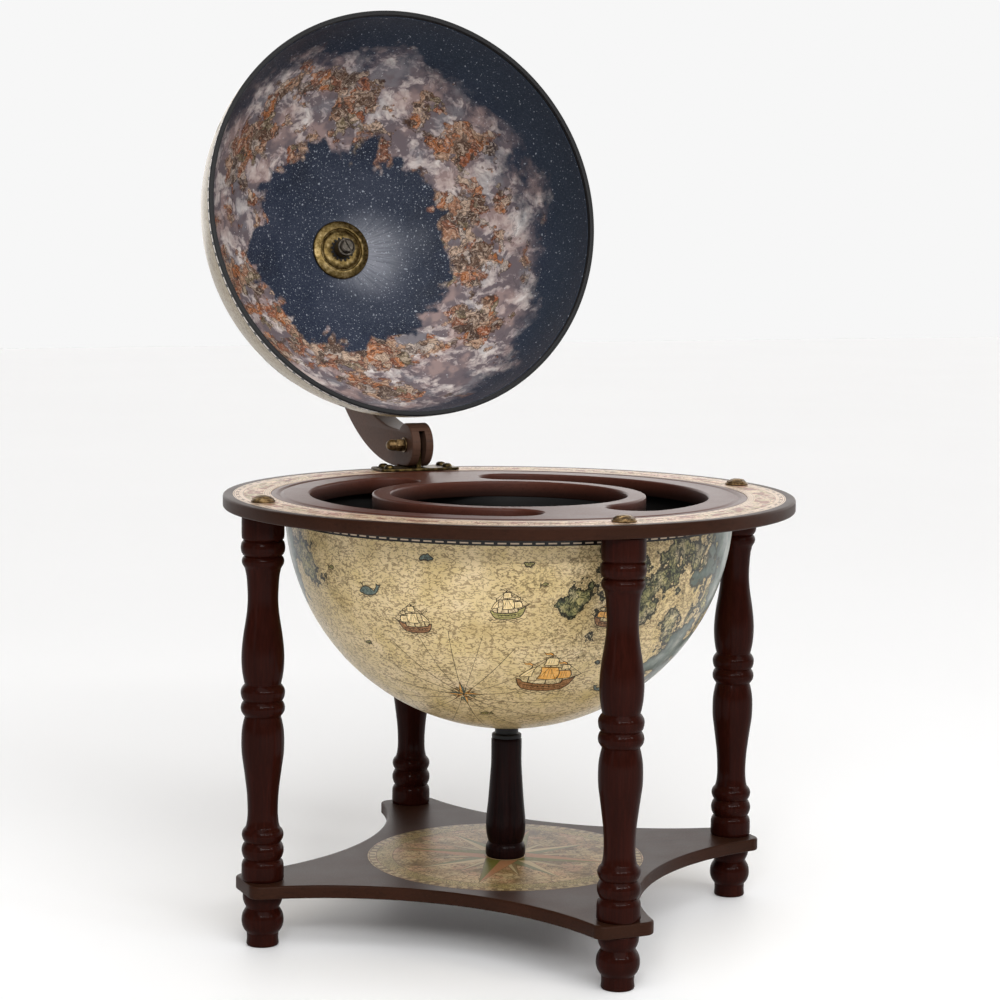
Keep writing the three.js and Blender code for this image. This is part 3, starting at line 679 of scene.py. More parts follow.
    # ochre and rust folds with dark contours and pale edges
    zone = m.add(m.mul(m.noise(m.vec("ADD", p, (70, 20, 5)), 0.02, 2, 0.5), 0.62), m.mul(m.noise(m.vec("ADD", p, (71, 20, 5)), 0.07, 3, 0.62), 0.38))
    zone = m.add(zone, m.add(m.step(th, 30, 44, 0.03, 0.004), m.step(th, 52, 66, 0.0, -0.09)))
    zm = m.step(zone, 0.494, 0.524)

    # each bent cell is one cloth or body, with its own colour, a relief and a dark contour
    g = m.vec("ADD", p, m.vec("SCALE", m.vec("SUBTRACT", m.noise(p, 0.055, 2, 0.6, color=True), (0.5, 0.5, 0.5)), scale=34.0))
    g = m.vec("ADD", g, m.vec("SCALE", m.vec("SUBTRACT", m.noise(p, 0.2, 2, 0.6, color=True), (0.5, 0.5, 0.5)), scale=7.0))
    pick = m.parts(m.cells(g, 0.1, "F1", "Color"))
    rim_ = m.cells(g, 0.1, "DISTANCE_TO_EDGE", "Distance")
    f1 = m.noise(g, 0.12, 3, 0.6, 0.8)
    f2 = m.noise(m.vec("ADD", g, (1.0, -1.3, 0.4)), 0.12, 3, 0.6, 0.8)
    rel = m.mul(m.sub(f1, f2), 4.4)
    fc = m.ramp(pick[0], [(0.0, srgb(188, 148, 118)), (0.14, srgb(142, 82, 52)), (0.27, srgb(190, 114, 58)), (0.38, srgb(108, 80, 60)), (0.48, srgb(182, 168, 158)),
                          (0.57, srgb(80, 62, 50)), (0.65, srgb(164, 92, 54)), (0.76, srgb(204, 176, 152)), (0.86, srgb(126, 112, 82)), (0.93, srgb(172, 118, 84))], "CONSTANT")
    fc = m.mix(m.step(rel, 0.04, 0.46, 0.0, 0.55), fc, srgb(234, 212, 190))
    fc = m.mix(m.step(rel, -0.04, -0.4, 0.0, 0.72), fc, srgb(66, 46, 38))
    cut_ = m.step(m.math("ABSOLUTE", m.sub(m.math("FRACT", m.mul(f1, 7.0)), 0.5)), 0.05, 0.14, 1.0, 0.0)
    fc = m.mix(m.mul(cut_, 0.3), fc, srgb(64, 46, 38))
    fc = m.mix(m.step(rim_, 0.02, 0.09, 0.6, 0.0), fc, srgb(50, 37, 32))
    f3 = m.noise(g, 0.3, 2, 0.6, 0.6)
    f4 = m.noise(m.vec("ADD", g, (0.55, -0.7, 0.2)), 0.3, 2, 0.6, 0.6)
    fold = m.mul(m.sub(f3, f4), 4.0)
    fc = m.mix(m.step(fold, 0.12, 0.6, 0.0, 0.26), fc, srgb(230, 206, 184))
    fc = m.mix(m.step(fold, -0.1, -0.6, 0.0, 0.52), fc, srgb(58, 40, 34))
    cl = m.mix(m.mul(zm, 0.92), cl, fc)
    rimz = m.mul(m.step(m.math("ABSOLUTE", m.sub(zone, 0.507)), 0.003, 0.009, 1.0, 0.0), m.step(m.noise(p, 0.16, 2, 0.5), 0.42, 0.52))
    cl = m.mix(m.mul(rimz, 0.6), cl, srgb(70, 54, 50))
    c = m.mix(cloud, sky, cl)
    c = m.mix(m.mul(m.mul(stars(9.0, 0.9, 0.55, (9, 1, 0)), cloud), 0.7), c, srgb(232, 232, 236))
    m.set("Base", c)
    m.set("Roughness", m.step(m.noise(p, 0.7, 2, 0.5), 0.3, 0.7, 0.36, 0.48))
    m.set("Normal", m.bump(m.noise(p, 0.6, 3, 0.5), 0.05, 0.0001))
    return m.mat


def polar(m, z0=0.0, turn=0.0):
    p = m.vec("SCALE", m.vec("SUBTRACT", m.place, (0.0, Y_SHIFT * MM, 0.0)), scale=1000.0)
    x, y, z = m.parts(p)
    r = m.math("SQRT", m.add(m.mul(x, x), m.mul(y, y)))
    a = m.math("ARCTAN2", y, x)
    if turn:
        a = m.sub(a, turn)
    return p, x, y, r, a


def ring_line(m, r, at, width):
    return m.step(m.math("ABSOLUTE", m.sub(r, at)), width * 0.5, width * 0.5 + 0.18, 1.0, 0.0)


def between(m, r, lo, hi, soft=0.2):
    return m.mul(m.step(r, lo, lo + soft), m.step(r, hi, hi + soft, 1.0, 0.0))


def band_look():
    """Horizon ring print: degree scale, twelve tinted compartments, scroll ornament and rules."""
    m = Look("horizon_print", IOR=1.18, Coat=0.12, Coat_Roughness=0.25, Coat_IOR=1.33)
    p, x, y, r, a = polar(m)
    base = m.ramp(m.noise(p, 0.05, 4, 0.6), [(0.35, srgb(202, 176, 148)), (0.65, srgb(226, 204, 182))])
    # arc length coordinates, so that the ornament keeps its scale
    s = m.mul(a, 190.0)
    uv = m.xyz(s, r, 0.0)
    wob = m.vec("SCALE", m.vec("SUBTRACT", m.noise(uv, 0.12, 2, 0.5, color=True), (0.5, 0.5, 0.5)), scale=7.0)
    w = m.vec("ADD", uv, wob)
    # compartments
    k = m.math("FLOOR", m.mul(a, 18 / math.pi))
    hue = m.parts(m.cells(m.xyz(k, 3.0, 0.0), 1.0, "F1", "Color", random_=0.0))[0]
    tint = m.ramp(hue, [(0.0, srgb(204, 150, 130)), (0.35, srgb(214, 188, 150)), (0.6, srgb(186, 170, 128)), (1.0, srgb(210, 160, 150))])
    c = m.mix(m.mul(between(m, r, 180.0, 195.0), 0.55), base, tint)
    # scrolls
    f = m.noise(w, 0.08, 2, 0.55)
    field = between(m, r, 180.5, 194.6)
    scroll = m.step(m.math("ABSOLUTE", m.sub(m.math("FRACT", m.mul(f, 7.0)), 0.5)), 0.08, 0.2, 1.0, 0.0)
    blot = m.step(m.noise(m.vec("MULTIPLY", w, (0.55, 1.0, 1.0)), 0.13, 2, 0.5), 0.51, 0.56)
    patch = m.step(m.noise(m.vec("ADD", m.vec("MULTIPLY", w, (0.45, 1.0, 1.0)), (80, 3, 1)), 0.11, 2, 0.5), 0.52, 0.57)
    c = m.mix(m.mul(m.mul(patch, field), 0.6), c, srgb(158, 146, 100))
    c = m.mix(m.mul(m.mul(blot, field), 0.84), c, srgb(142, 80, 68))
    c = m.mix(m.mul(m.mul(scroll, field), 0.7), c, srgb(88, 62, 50))
    # leaf border, inside
    leaf = m.step(m.math("ABSOLUTE", m.sub(m.add(m.math("PINGPONG", m.mul(s, 0.5), 2.0), 176.6), r)), 0.35, 0.7, 1.0, 0.0)
    c = m.mix(m.mul(m.mul(leaf, between(m, r, 176.4, 179.0)), 0.6), c, srgb(120, 92, 66))
    # degree scale, outside
    tick = m.step(m.math("ABSOLUTE", m.sub(m.math("FRACT", m.mul(a, 180 / math.pi)), 0.5)), 0.4, 0.44)
    c = m.mix(m.mul(m.mul(tick, between(m, r, 195.6, 198.2)), 0.75), c, srgb(84, 60, 46))
    block = m.step(m.math("FRACT", m.mul(a, 36 / math.pi)), 0.5, 0.51)
    c = m.mix(m.mul(m.mul(block, between(m, r, 198.6, 200.2)), 0.8), c, srgb(96, 70, 54))
    for at, wd in ((176.0, 0.35), (179.6, 0.4), (195.2, 0.45), (198.4, 0.3), (200.4, 0.35), (201.8, 0.6)):
        c = m.mix(m.mul(ring_line(m, r, at, wd), 0.7), c, srgb(90, 66, 50))
    bar = m.step(m.math("ABSOLUTE", m.sub(m.math("FRACT", m.mul(a, 18 / math.pi)), 0.5)), 0.49, 0.496)
    c = m.mix(m.mul(m.mul(bar, between(m, r, 180.0, 195.0)), 0.8), c, srgb(96, 66, 50))
    c = m.mix(m.mul(m.step(m.noise(p, 0.9, 3, 0.7), 0.55, 0.8), 0.25), c, srgb(176, 146, 118))
    m.set("Base", c)
    m.set("Roughness", m.step(m.noise(p, 0.5, 3, 0.6), 0.3, 0.7, 0.38, 0.5))
    m.set("Normal", m.bump(m.noise(p, 1.2, 2, 0.5), 0.08, 0.0001))
    return m.mat


def compass_look():
    """Compass rose print: split-colour points on tinted paper, with a scroll border and a degree scale."""
    m = Look("compass_print", IOR=1.12, Coat=0.06, Coat_Roughness=0.25, Coat_IOR=1.3)
    p, x, y, r, a = polar(m, turn=math.radians(53.0))
    base = m.ramp(m.noise(p, 0.03, 4, 0.6), [(0.34, srgb(92, 72, 44)), (0.5, srgb(138, 114, 78)), (0.66, srgb(178, 150, 110))])
    wob = m.vec("SCALE", m.vec("SUBTRACT", m.noise(p, 0.14, 2, 0.5, color=True), (0.5, 0.5, 0.5)), scale=8.0)
    w = m.vec("ADD", p, wob)
    # mottled field with faint drawing
    f = m.noise(w, 0.1, 2, 0.55)
    draw = m.step(m.math("ABSOLUTE", m.sub(m.math("FRACT", m.mul(f, 10.0)), 0.5)), 0.07, 0.18, 1.0, 0.0)
    c = m.mix(m.mul(m.mul(draw, m.step(m.noise(p, 0.06, 2, 0.5), 0.38, 0.5)), 0.78), base, srgb(72, 56, 34))
    c = m.mix(m.mul(m.step(m.noise(m.vec("ADD", p, (4, 9, 1)), 0.045, 3, 0.5), 0.5, 0.6), 0.45), c, srgb(176, 134, 104))
    c = m.mix(m.mul(m.step(m.noise(m.vec("ADD", w, (34, 9, 1)), 0.07, 3, 0.6), 0.54, 0.6), 0.5), c, srgb(176, 158, 118))
    c = m.mix(m.mul(strokes(m, p, 6.0, 0.8, (9, 2, 0), 0.2, 0.44), 0.6), c, srgb(70, 54, 32))
    # border of leaves
    border = between(m, r, 84.5, 96.0)
    c = m.mix(m.mul(border, 0.5), c, srgb(150, 136, 84))
    leaf = m.step(m.math("ABSOLUTE", m.sub(m.math("FRACT", m.mul(m.noise(m.vec("ADD", w, (50, 0, 0)), 0.14, 2, 0.6), 12.0)), 0.5)), 0.12, 0.25, 1.0, 0.0)
    c = m.mix(m.mul(m.mul(leaf, border), 0.8), c, srgb(62, 52, 28))
    # points: long four, middle four, short eight
    def points(count, turn, reach, foot, left, right):
        nonlocal c
        t = m.math("WRAP", m.sub(a, turn), math.pi / count, -math.pi / count)
        px = m.mul(r, m.math("COSINE", t))
        py = m.mul(r, m.math("SINE", t))
        half = m.step(px, foot * 0.3, reach, foot, 0.0, smooth=False)
        inside = m.mul(m.step(m.sub(half, m.math("ABSOLUTE", py)), 0.0, 0.15), m.step(px, reach, reach + 0.2, 1.0, 0.0))
        side = m.step(py, -0.05, 0.05)
        c = m.mix(inside, c, m.mix(side, left, right))
        rim = m.mul(m.step(m.math("ABSOLUTE", m.sub(half, m.math("ABSOLUTE", py))), 0.12, 0.35, 1.0, 0.0), m.step(px, 1.0, 2.0))
        rim = m.mul(rim, m.step(px, reach, reach + 0.2, 1.0, 0.0))
        c = m.mix(m.mul(rim, 0.75), c, srgb(84, 62, 40))
    points(8, math.pi / 8, 62.0, 6.0, srgb(160, 144, 108), srgb(118, 100, 70))
    points(4, math.pi / 4, 76.0, 10.0, srgb(106, 104, 72), srgb(168, 148, 112))
    points(4, 0.0, 84.0, 13.5, srgb(96, 92, 42), srgb(146, 104, 72))
    hub = m.step(r, 15.0, 15.3, 1.0, 0.0)
    c = m.mix(hub, c, srgb(176, 150, 110))
    for at, wd in ((15.2, 0.5), (84.2, 0.5), (96.4, 0.4), (101.6, 0.5)):
        c = m.mix(m.mul(ring_line(m, r, at, wd), 0.75), c, srgb(80, 62, 38))
    block = m.step(m.math("FRACT", m.mul(a, 36 / math.pi)), 0.5, 0.51)
    c = m.mix(m.mul(between(m, r, 97.2, 101.0), 0.75), c, m.mix(block, srgb(150, 134, 96), srgb(88, 74, 46)))
    c = m.mix(m.mul(m.step(m.noise(p, 0.9, 3, 0.7), 0.55, 0.8), 0.3), c, srgb(150, 122, 92))
    m.set("Base", c)
    m.set("Roughness", m.step(m.noise(p, 0.5, 3, 0.6), 0.3, 0.7, 0.34, 0.46))
    m.set("Normal", m.bump(m.noise(p, 1.2, 2, 0.5), 0.08, 0.0001))
    return m.mat


BOARD, LEG, PILLAR, BLACK, STEEL = board_look(), leg_look(), pillar_look(), plastic_look(), steel_look()
BRASS = brass_look("aged_brass", srgb(60, 46, 30), srgb(118, 94, 62), srgb(166, 140, 100), hammer=0.3, rough=(0.34, 0.54), metal=0.9)
DARK_BRASS = brass_look("dark_brass", srgb(30, 25, 15), srgb(70, 58, 34), srgb(128, 108, 66), rough=(0.34, 0.52))
ROSE_BRASS = brass_look("rosette_brass", srgb(66, 53, 28), srgb(103, 86, 50), srgb(154, 135, 97), rough=(0.26, 0.4), metal=0.95, dent=0.16)
BRONZE = brass_look("grey_bronze", srgb(46, 43, 40), srgb(84, 79, 72), srgb(124, 116, 105))
BAND, COMPASS, SKY = band_look(), compass_look(), lining_look()


def facing(deg, up):
    """A direction seen from the bar's middle: deg from the viewer's side (left negative), up in degrees."""
    phi = math.radians(23.96)
    a, e = math.radians(deg), math.radians(up)
    xc, yc = math.sin(a) * math.cos(e), -math.cos(a) * math.cos(e)
    return (xc * math.cos(phi) + yc * math.sin(phi), -xc * math.sin(phi) + yc * math.cos(phi), math.sin(e))


MAP_LOW = globe_look("map_print_lower", (0, 0, LOWER_CZ), 0.0,
    lands=[(facing(46, -9), 10), (facing(58, -24), 9), (facing(62, -4), 12), (facing(-64, -7), 3.0), (facing(25, -18), 2.5),
           (facing(140, -20), 22), (facing(-130, -12), 20), (facing(180, -40), 16), (facing(-165, -4), 12)],
    seas=[(facing(80, -14), 17), (facing(66, -34), 10), (facing(-88, -6), 19), (facing(160, -10), 18), (facing(-150, -40), 18), (facing(-110, -36), 10)],
    seed=13.0, band=10.5, dashes=(8.25, 9.2))
# the lid's globe gets painted shade on one side
MAP_TOP = globe_look("map_print_upper", tuple(LID_C), OPEN,
    lands=[((0.2, -1, 0.35), 22), ((1, 0.2, 0.4), 20), ((-0.5, 0.3, 1.2), 14), ((0.1, 0.9, 0.9), 16)],
    seas=[((0.3, -0.7, 0.9), 12), ((0.7, 0.7, 0.25), 14)], seed=57.0, band=6.9, dashes=(3.5, 5.7), painted_side_shade=0.7, white=(226, 216, 204))

# -------------------------------------------------------------------- the board
ring_profile = rounded([
    (163.0, RING_TOP - RING_T), (163.0, RING_TOP - RING_T), (RING_R, RING_TOP - RING_T, 1.6), (RING_R, RING_TOP, 1.7),
    (202.75, RING_TOP, 0.12), (202.75, RING_TOP - 0.4), (175.0, RING_TOP - 0.4), (175.0, 314.9), (163.0, 314.9)])[1:]
v, f = lathe(ring_profile, 256, loop=True)
build("board_ring", v, f, BOARD, "stand", ["horizon_ring"], "board_wood", sharp=28)
v, f = lathe(rounded([(175.02, 319.22), (202.7, 319.22), (202.7, 319.6, 0.08), (175.02, 319.6, 0.08), (175.02, 319.22)]), 256, loop=True)
build("board_print", v, f, BAND, "stand", ["horizon_band_print"], "band_print", sharp=40)


def crescent(sign):
    ro, ri, a = 146.4, 100.9, 66.5
    e, m = (ro - ri) / 2, (ro + ri) / 2
    cx, cy = m * math.cos(math.radians(a)), m * math.sin(math.radians(a))
    pts = (arc(0, 0, ro, -a, a, 96) + arc(cx, cy, e, a, a + 180, 32)[1:]
           + arc(0, 0, ri, a, -a, 72)[1:] + arc(cx, -cy, e, 180 - a, 360 - a, 32)[1:])[:-1]
    return [(sign * x, y) for x, y in pts]


N = 256
circle = [(math.cos(2 * math.pi * k / N), math.sin(2 * math.pi * k / N)) for k in range(N)]
edge_rows = [[(r * x, r * y, z) for x, y in circle] for r, z in rounded([
    (160.2, 307.6), (160.2, 307.6), (160.2, 315.3, 0.0), (174.9, 315.3), (174.9, 319.2, 0.3), (173.6, RING_TOP, 0.6), (170.6, RING_TOP - 0.05, 1.4),
    (168.2, RING_TOP - 1.1, 1.2), (165.8, RING_TOP, 1.4), (164.0, RING_TOP)])[1:]]
v, f, flat = slab([(r[0], r[1]) for r in edge_rows[0]], [crescent(1), crescent(-1), [(87.1 * x, 87.1 * y) for x, y in circle]],
                  307.6, RING_TOP, 1.0, 1.7, outer_rows=edge_rows)
# the bottle plate's cut walls get painted shade, darker downwards
build("bottle_board", v, f, board_look("plate_lacquer", painted_wall_shade=True, shades=((70, 35, 26), (82, 44, 32), (56, 27, 19), (104, 64, 48)), gloss=(1.24, 0.18)), "stand", ["bottle_plate"], "board_wood", sharp=28, flat=flat)
v, f = lathe(rounded([(0, 181.4), (93.6, 181.4, 1.5), (93.6, 190.4, 1.2), (0, 190.4)]), 128)
build("bottle_floor", v, f, BOARD, "stand", ["bottle_base"], "board_wood", sharp=28)


# ------------------------------------------------------------------ half globes
def shell(ro, ri, rim, rows=56):
    t1 = math.acos(rim / ro)
    t0 = math.asin(3.6 / ri)
    t2 = math.acos(rim / ri)
    out = [(ro * math.sin(t0 + (t1 - t0) * k / rows), ro * math.cos(t0 + (t1 - t0) * k / rows)) for k in range(rows + 1)]
    inn = [(ri * math.sin(t2 + (t0 - t2) * k / rows), ri * math.cos(t2 + (t0 - t2) * k / rows)) for k in range(rows + 1)]
    return out + inn


prof = [(r, LOWER_CZ - z) for r, z in shell(GLOBE_R, GLOBE_R - SHELL_T, 1.8)]
v, f = lathe(prof, 160, loop=True)
# painted shade: the inside of the lower half globe is coloured near black to stand for the shade within it
inner_look = Look("shell_inside", Roughness=0.6)
pp = inner_look.vec("SCALE", inner_look.place, scale=1000.0)
nn = inner_look.noise(pp, 0.25, 4, 0.6)
inner_look.set("Base", inner_look.ramp(nn, [(0.3, srgb(10, 8, 7)), (0.7, srgb(18, 14, 12))]))
inner_look.set("Normal", inner_look.bump(nn, 0.2, 0.0002))
ids = [0 if (i // 160) < 56 else 1 for i in range(len(f))]
build("lower_globe", v, f, [MAP_LOW, inner_look.mat], "stand", ["lower_hemisphere"], "globe_print", sharp=50, mat_ids=ids)

v, f = lathe(shell(GLOBE_R, GLOBE_R - SHELL_T, 1.5), 160, loop=True)
build("upper_globe", v, f, [MAP_TOP], "lid", ["upper_hemisphere"], "globe_print", sharp=50, place=LID)
v, f = lathe(shell(161.6, 161.0, 4.6), 160, loop=True)
build("sky_lining", v, f, SKY, "lid", ["lid_lining"], "lining_print", sharp=50, place=LID)
v, f = lathe(rounded([(161.45, 4.45), (161.45, 4.45), (161.6, 0.0, 0.7), (165.45, 0.0, 1.0), (165.4, 2.3, 0.3), (164.95, 2.6), (162.2, 1.35), (161.88, 1.35), (161.85, 4.45)])[1:], 192, loop=True)
build("rim_trim", v, f, BLACK, "lid", ["lid_rim_trim"], "black_trim", sharp=35, place=LID)

# -------------------------------------------------------------- printed figures
def ink_look(name, dark, mid, light):
    """Printed colour with worn, uneven ink, under the same varnish as the map."""
    m = Look(name, IOR=1.25, Coat=0.4, Coat_Roughness=0.2, Coat_IOR=1.38)
    p = m.vec("SCALE", m.place, scale=1000.0)
    f = m.add(m.mul(m.noise(p, 0.5, 3, 0.6), 0.6), m.mul(m.noise(p, 2.4, 2, 0.6), 0.4))
    m.set("Base", m.ramp(f, [(0.36, dark), (0.5, mid), (0.64, light)]))
    m.set("Roughness", m.step(f, 0.3, 0.7, 0.34, 0.48))
    m.set("Normal", m.bump(f, 0.06, 0.0001))
    return m.mat


FIGURE = [ink_look("pen_ink", srgb(30, 24, 14), srgb(48, 38, 24), srgb(82, 64, 40)),
          ink_look("sail_cream", srgb(212, 184, 128), srgb(232, 206, 152), srgb(240, 216, 170)),
          ink_look("sail_ochre", srgb(206, 140, 62), srgb(228, 168, 88), srgb(236, 190, 120)),
          ink_look("hull_rust", srgb(92, 60, 38), srgb(138, 96, 60), srgb(178, 134, 90)),
          ink_look("slate_wash", srgb(52, 66, 62), srgb(84, 98, 92), srgb(124, 134, 118)),
          ink_look("olive_wash", srgb(104, 104, 56), srgb(150, 142, 84), srgb(190, 174, 116))]
INK, CREAM, OCHRE, RUST, SLATE, OLIVE = range(6)


def resample(points, step=1.6):
    out = [Vector(points[0])]
    for p, q in zip(points, points[1:]):
        p, q = Vector(p), Vector(q)
        n = max(1, int(math.ceil((q - p).length / step)))
        out += [p.lerp(q, (k + 1) / n) for k in range(n)]
    return out


def pen(points, w=0.5, taper=True, mat=INK, level=3, scale=1.0):
    """A pen stroke: a narrow strip that thins at its ends."""
    pts = resample([(x * scale, y * scale) for x, y in points])
    n, left, right = len(pts), [], []
    for i, p in enumerate(pts):
        d = (pts[min(i + 1, n - 1)] - pts[max(i - 1, 0)])
        d = d.normalized() if d.length > 1e-9 else Vector((1, 0))
        k = math.sin(math.pi * min(max(i / max(n - 1, 1), 0.0), 1.0)) ** 0.5 if taper else 1.0
        h = w * 0.6 * max(k, 0.35)
        left.append((p.x - d.y * h, p.y + d.x * h))
        right.append((p.x + d.y * h, p.y - d.x * h))
    verts = left + right
    return verts, [(i, i + 1, n + i + 1, n + i) for i in range(n - 1)], mat, level


def wash(outline, mat, level=1, scale=1.0, rim=0.45):
    """A filled shape with an inked outline."""
    pts = [(x * scale, y * scale) for x, y in outline]
    tris = geometry.tessellate_polygon([[Vector((x, y, 0)) for x, y in pts]])
    items = [(pts, [tuple(t) for t in tris if len(set(t)) == 3], mat, level)]
    if rim:
        items.append(pen(list(pts) + [pts[0]], rim, False, INK, 3))
    return items


def bow(a, b, h, n=10):
    """A curved line from a to b that bulges by h to its left."""
    a, b = Vector(a), Vector(b)
    d = b - a
    nrm = Vector((-d.y, d.x)).normalized()
    return [tuple(a.lerp(b, k / n) + nrm * h * 4 * (k / n) * (1 - k / n)) for k in range(n + 1)]


def wavy(x0, x1, y, amp, cycles, n=16):
    return [(x0 + (x1 - x0) * k / n, y + amp * math.sin(2 * math.pi * cycles * k / n)) for k in range(n + 1)]


def sail(x0, x1, y0, y1, belly, mat, s):
    top, bottom = (y1, 0.84), (y0, 1.0)
    mid, hw = (x0 + x1) / 2, (x1 - x0) / 2
    o = (bow((mid - hw, y0), (mid + hw, y0), -belly * 0.5, 8) + bow((mid + hw, y0), (mid + hw * 0.84, y1), -belly, 8)[1:]
         + bow((mid + hw * 0.84, y1), (mid - hw * 0.84, y1), -belly * 0.3, 8)[1:] + bow((mid - hw * 0.84, y1), (mid - hw, y0), belly, 8)[1:-1])
    items = wash(o, mat, 1, s, 0.42)
    for k in (0.3, 0.5, 0.7):
        items.append(pen(bow((mid - hw + 2 * hw * k, y0 + 0.8), (mid - hw * 0.84 + 2 * hw * 0.84 * k, y1 - 0.8), belly * (0.5 - k) * -1.4, 6), 0.2, True, INK, 2, s))
    items.append(pen([(mid - hw - 1, y1 + 0.1), (mid + hw + 1, y1 + 0.1)], 0.45, True, INK, 3, s))
    return items


def ship(s=1.0, main=OCHRE, fore=CREAM, hull=RUST):
    out = wash([(-13, 0), (-15, 5), (-12.4, 4.4), (-11.4, 2.8), (-4, 1.7), (4, 1.6), (8.6, 2.4), (9.6, 4.8), (13.2, 5.8), (15, 7.4), (15.6, 6.6), (13.4, 0.8), (10.4, -2.6), (3, -4.0), (-6, -3.9), (-11, -2.5)], hull, 1, s, 0.55)
    out.append(pen(bow((-13.4, 1.2), (13.2, 1.4), -1.4), 0.5, True, INK, 2, s))
    out.append(pen(bow((-11.6, -1.2), (11.6, -1.0), -1.0), 0.3, True, INK, 2, s))
    for k in range(7):
        out.append(pen([(-8.4 + 2.9 * k, -0.2), (-8.1 + 2.9 * k, -1.0)], 0.6, False, INK, 2, s))
    for x, y0, y1 in ((-8.6, 2.2, 16.4), (0.6, 1.6, 24.0), (9.0, 2.4, 18.0)):
        out.append(pen([(x, y0), (x, y1)], 0.6, False, INK, 0, s))
    out += sail(-4.6, 5.8, 6.0, 14.6, 0.9, main, s) + sail(-3.0, 4.2, 16.4, 21.2, 0.6, fore, s)
    out += sail(5.4, 12.6, 6.6, 12.2, 0.7, main, s) + sail(6.6, 11.4, 13.6, 16.4, 0.4, fore, s)
    out += wash(bow((-13.6, 6.4), (-6.2, 15.0), 1.0, 8) + bow((-6.2, 15.0), (-7.2, 6.0), -0.8, 6)[1:-1], fore, 1, s, 0.42)
    for x, y in ((-8.6, 16.4), (0.6, 24.0), (9.0, 18.0)):
        out += wash([(x, y), (x - 1.6, y + 0.8), (x - 3.2, y + 0.2), (x - 5.4, y + 1.0), (x - 3.4, y - 0.8), (x - 1.6, y - 0.4), (x, y - 1.2)], main, 1, s, 0.3)
    for a, b in (((0.6, 23.6), (-13.6, 4.6)), ((0.6, 23.6), (9.0, 17.6)), ((9.0, 17.6), (18.6, 9.0)), ((9.0, 17.2), (14.4, 6.6)), ((-8.6, 16.0), (0.6, 22.6)), ((0.6, 15.0), (-6.0, 2.0)), ((0.6, 15.0), (7.0, 2.2))):
        out.append(pen([a, b], 0.24, False, INK, 2, s))
    out.append(pen([(13.4, 5.8), (19.6, 9.6)], 0.6, True, INK, 2, s))
    for x0, x1, y in ((-18, -9, -4.4), (-8, 6, -5.6), (5, 17, -4.6), (-14, -2, -7.0), (1, 12, -7.2)):
        out.append(pen(wavy(x0, x1, y, 0.5, 2.5), 0.3, True, INK, 2, s))
    return out


def serpent(s=1.0):
    out = []
    for x, r in ((-9.5, 3.6), (-1.5, 4.6), (7.2, 4.0)):
        o = [(x - r + 2 * r * k / 12, 0.2 + r * 1.25 * math.sin(math.pi * k / 12)) for k in range(13)]
        i = [(x + r * 0.55 - 1.1 * r * k / 8, 0.2 + r * 0.55 * math.sin(math.pi * k / 8)) for k in range(9)]
        out += wash(o + i, SLATE, 1, s, 0.5)
        for k in range(2, 11, 2):
            a = math.pi * k / 12
            out.append(pen([(x - r * math.cos(a) * 0.98, 0.2 + r * 1.22 * math.sin(a)), (x - r * math.cos(a) * 0.72, 0.2 + r * 0.85 * math.sin(a))], 0.35, True, INK, 2, s))
    out += wash([(11.6, 0), (12.6, 3.6), (12.0, 6.6), (13.4, 8.8), (16.2, 9.2), (18.8, 8.0), (17.2, 7.2), (18.2, 6.2), (15.6, 6.4), (14.8, 4.6), (15.0, 2.2), (14.4, 0)], SLATE, 1, s, 0.5)
    out.append(pen([(15.0, 7.9), (15.5, 7.9)], 0.7, False, INK, 3, s))
    out += wash([(-15.6, 0), (-17.2, 3.6), (-19.6, 5.4), (-16.6, 5.4), (-15.0, 7.0), (-15.2, 4.2), (-13.6, 1.8), (-13.8, 0)], SLATE, 1, s, 0.45)
    for x0, x1, y in ((-20, -10, -0.6), (-11, 1, -1.8), (0, 12, -0.9), (9, 19, -1.8), (-6, 6, -3.2)):
        out.append(pen(wavy(x0, x1, y, 0.45, 2.5), 0.35, True, INK, 2, s))
    return out


def whale(s=1.0):
    out = wash(bow((-10, 0.5), (8, 0.2), 5.2, 14) + [(9.6, 2.2), (12.0, 4.6), (12.6, 7.6), (14.6, 5.6), (17.4, 6.2), (14.6, 3.4), (12.6, 0.4), (9.0, -2.2)] + bow((9.0, -2.2), (-10, 0.5), 2.6, 10)[1:-1], SLATE, 1, s, 0.55)
    out.append(pen([(-6.6, 1.6), (-6.1, 1.6)], 0.8, False, INK, 3, s))
    out.append(pen(bow((-9.4, 0.2), (-4.4, -0.6), -0.6), 0.4, True, INK, 2, s))
    for a in (-0.9, -0.3, 0.3):
        out.append(pen(bow((-4.4, 5.0), (-4.4 + 4.4 * math.sin(a), 10.2 - abs(a)), 1.2 * a), 0.35, True, INK, 2, s))
    for k in range(5):
        out.append(pen(bow((-2 + 2.4 * k, 4.6 - 0.5 * abs(k - 1)), (-0.6 + 2.4 * k, 1.2), 0.4), 0.28, True, INK, 2, s))
    for x0, x1, y in ((-14, -2, -3.4), (0, 14, -3.2), (-8, 6, -5.0)):
        out.append(pen(wavy(x0, x1, y, 0.45, 2.5), 0.3, True, INK, 2, s))
    return out


def fish(s=1.0):
    out = wash(bow((-5, 0), (4, 0), 2.4, 8) + [(7, 2.6), (6.2, 0), (7, -2.6), (4, 0)] + bow((4, 0), (-5, 0), 2.0, 8)[1:-1], OLIVE, 1, s, 0.45)
    out.append(pen([(-3.4, 0.5), (-3.0, 0.5)], 0.7, False, INK, 3, s))
    for k in range(3):
        out.append(pen(bow((-1.6 + 1.8 * k, 1.5), (-1.6 + 1.8 * k, -1.2), -0.5), 0.3, True, INK, 2, s))
    out.append(pen(wavy(-8, 8, -3.2, 0.4, 3), 0.3, True, INK, 2, s))
    return out


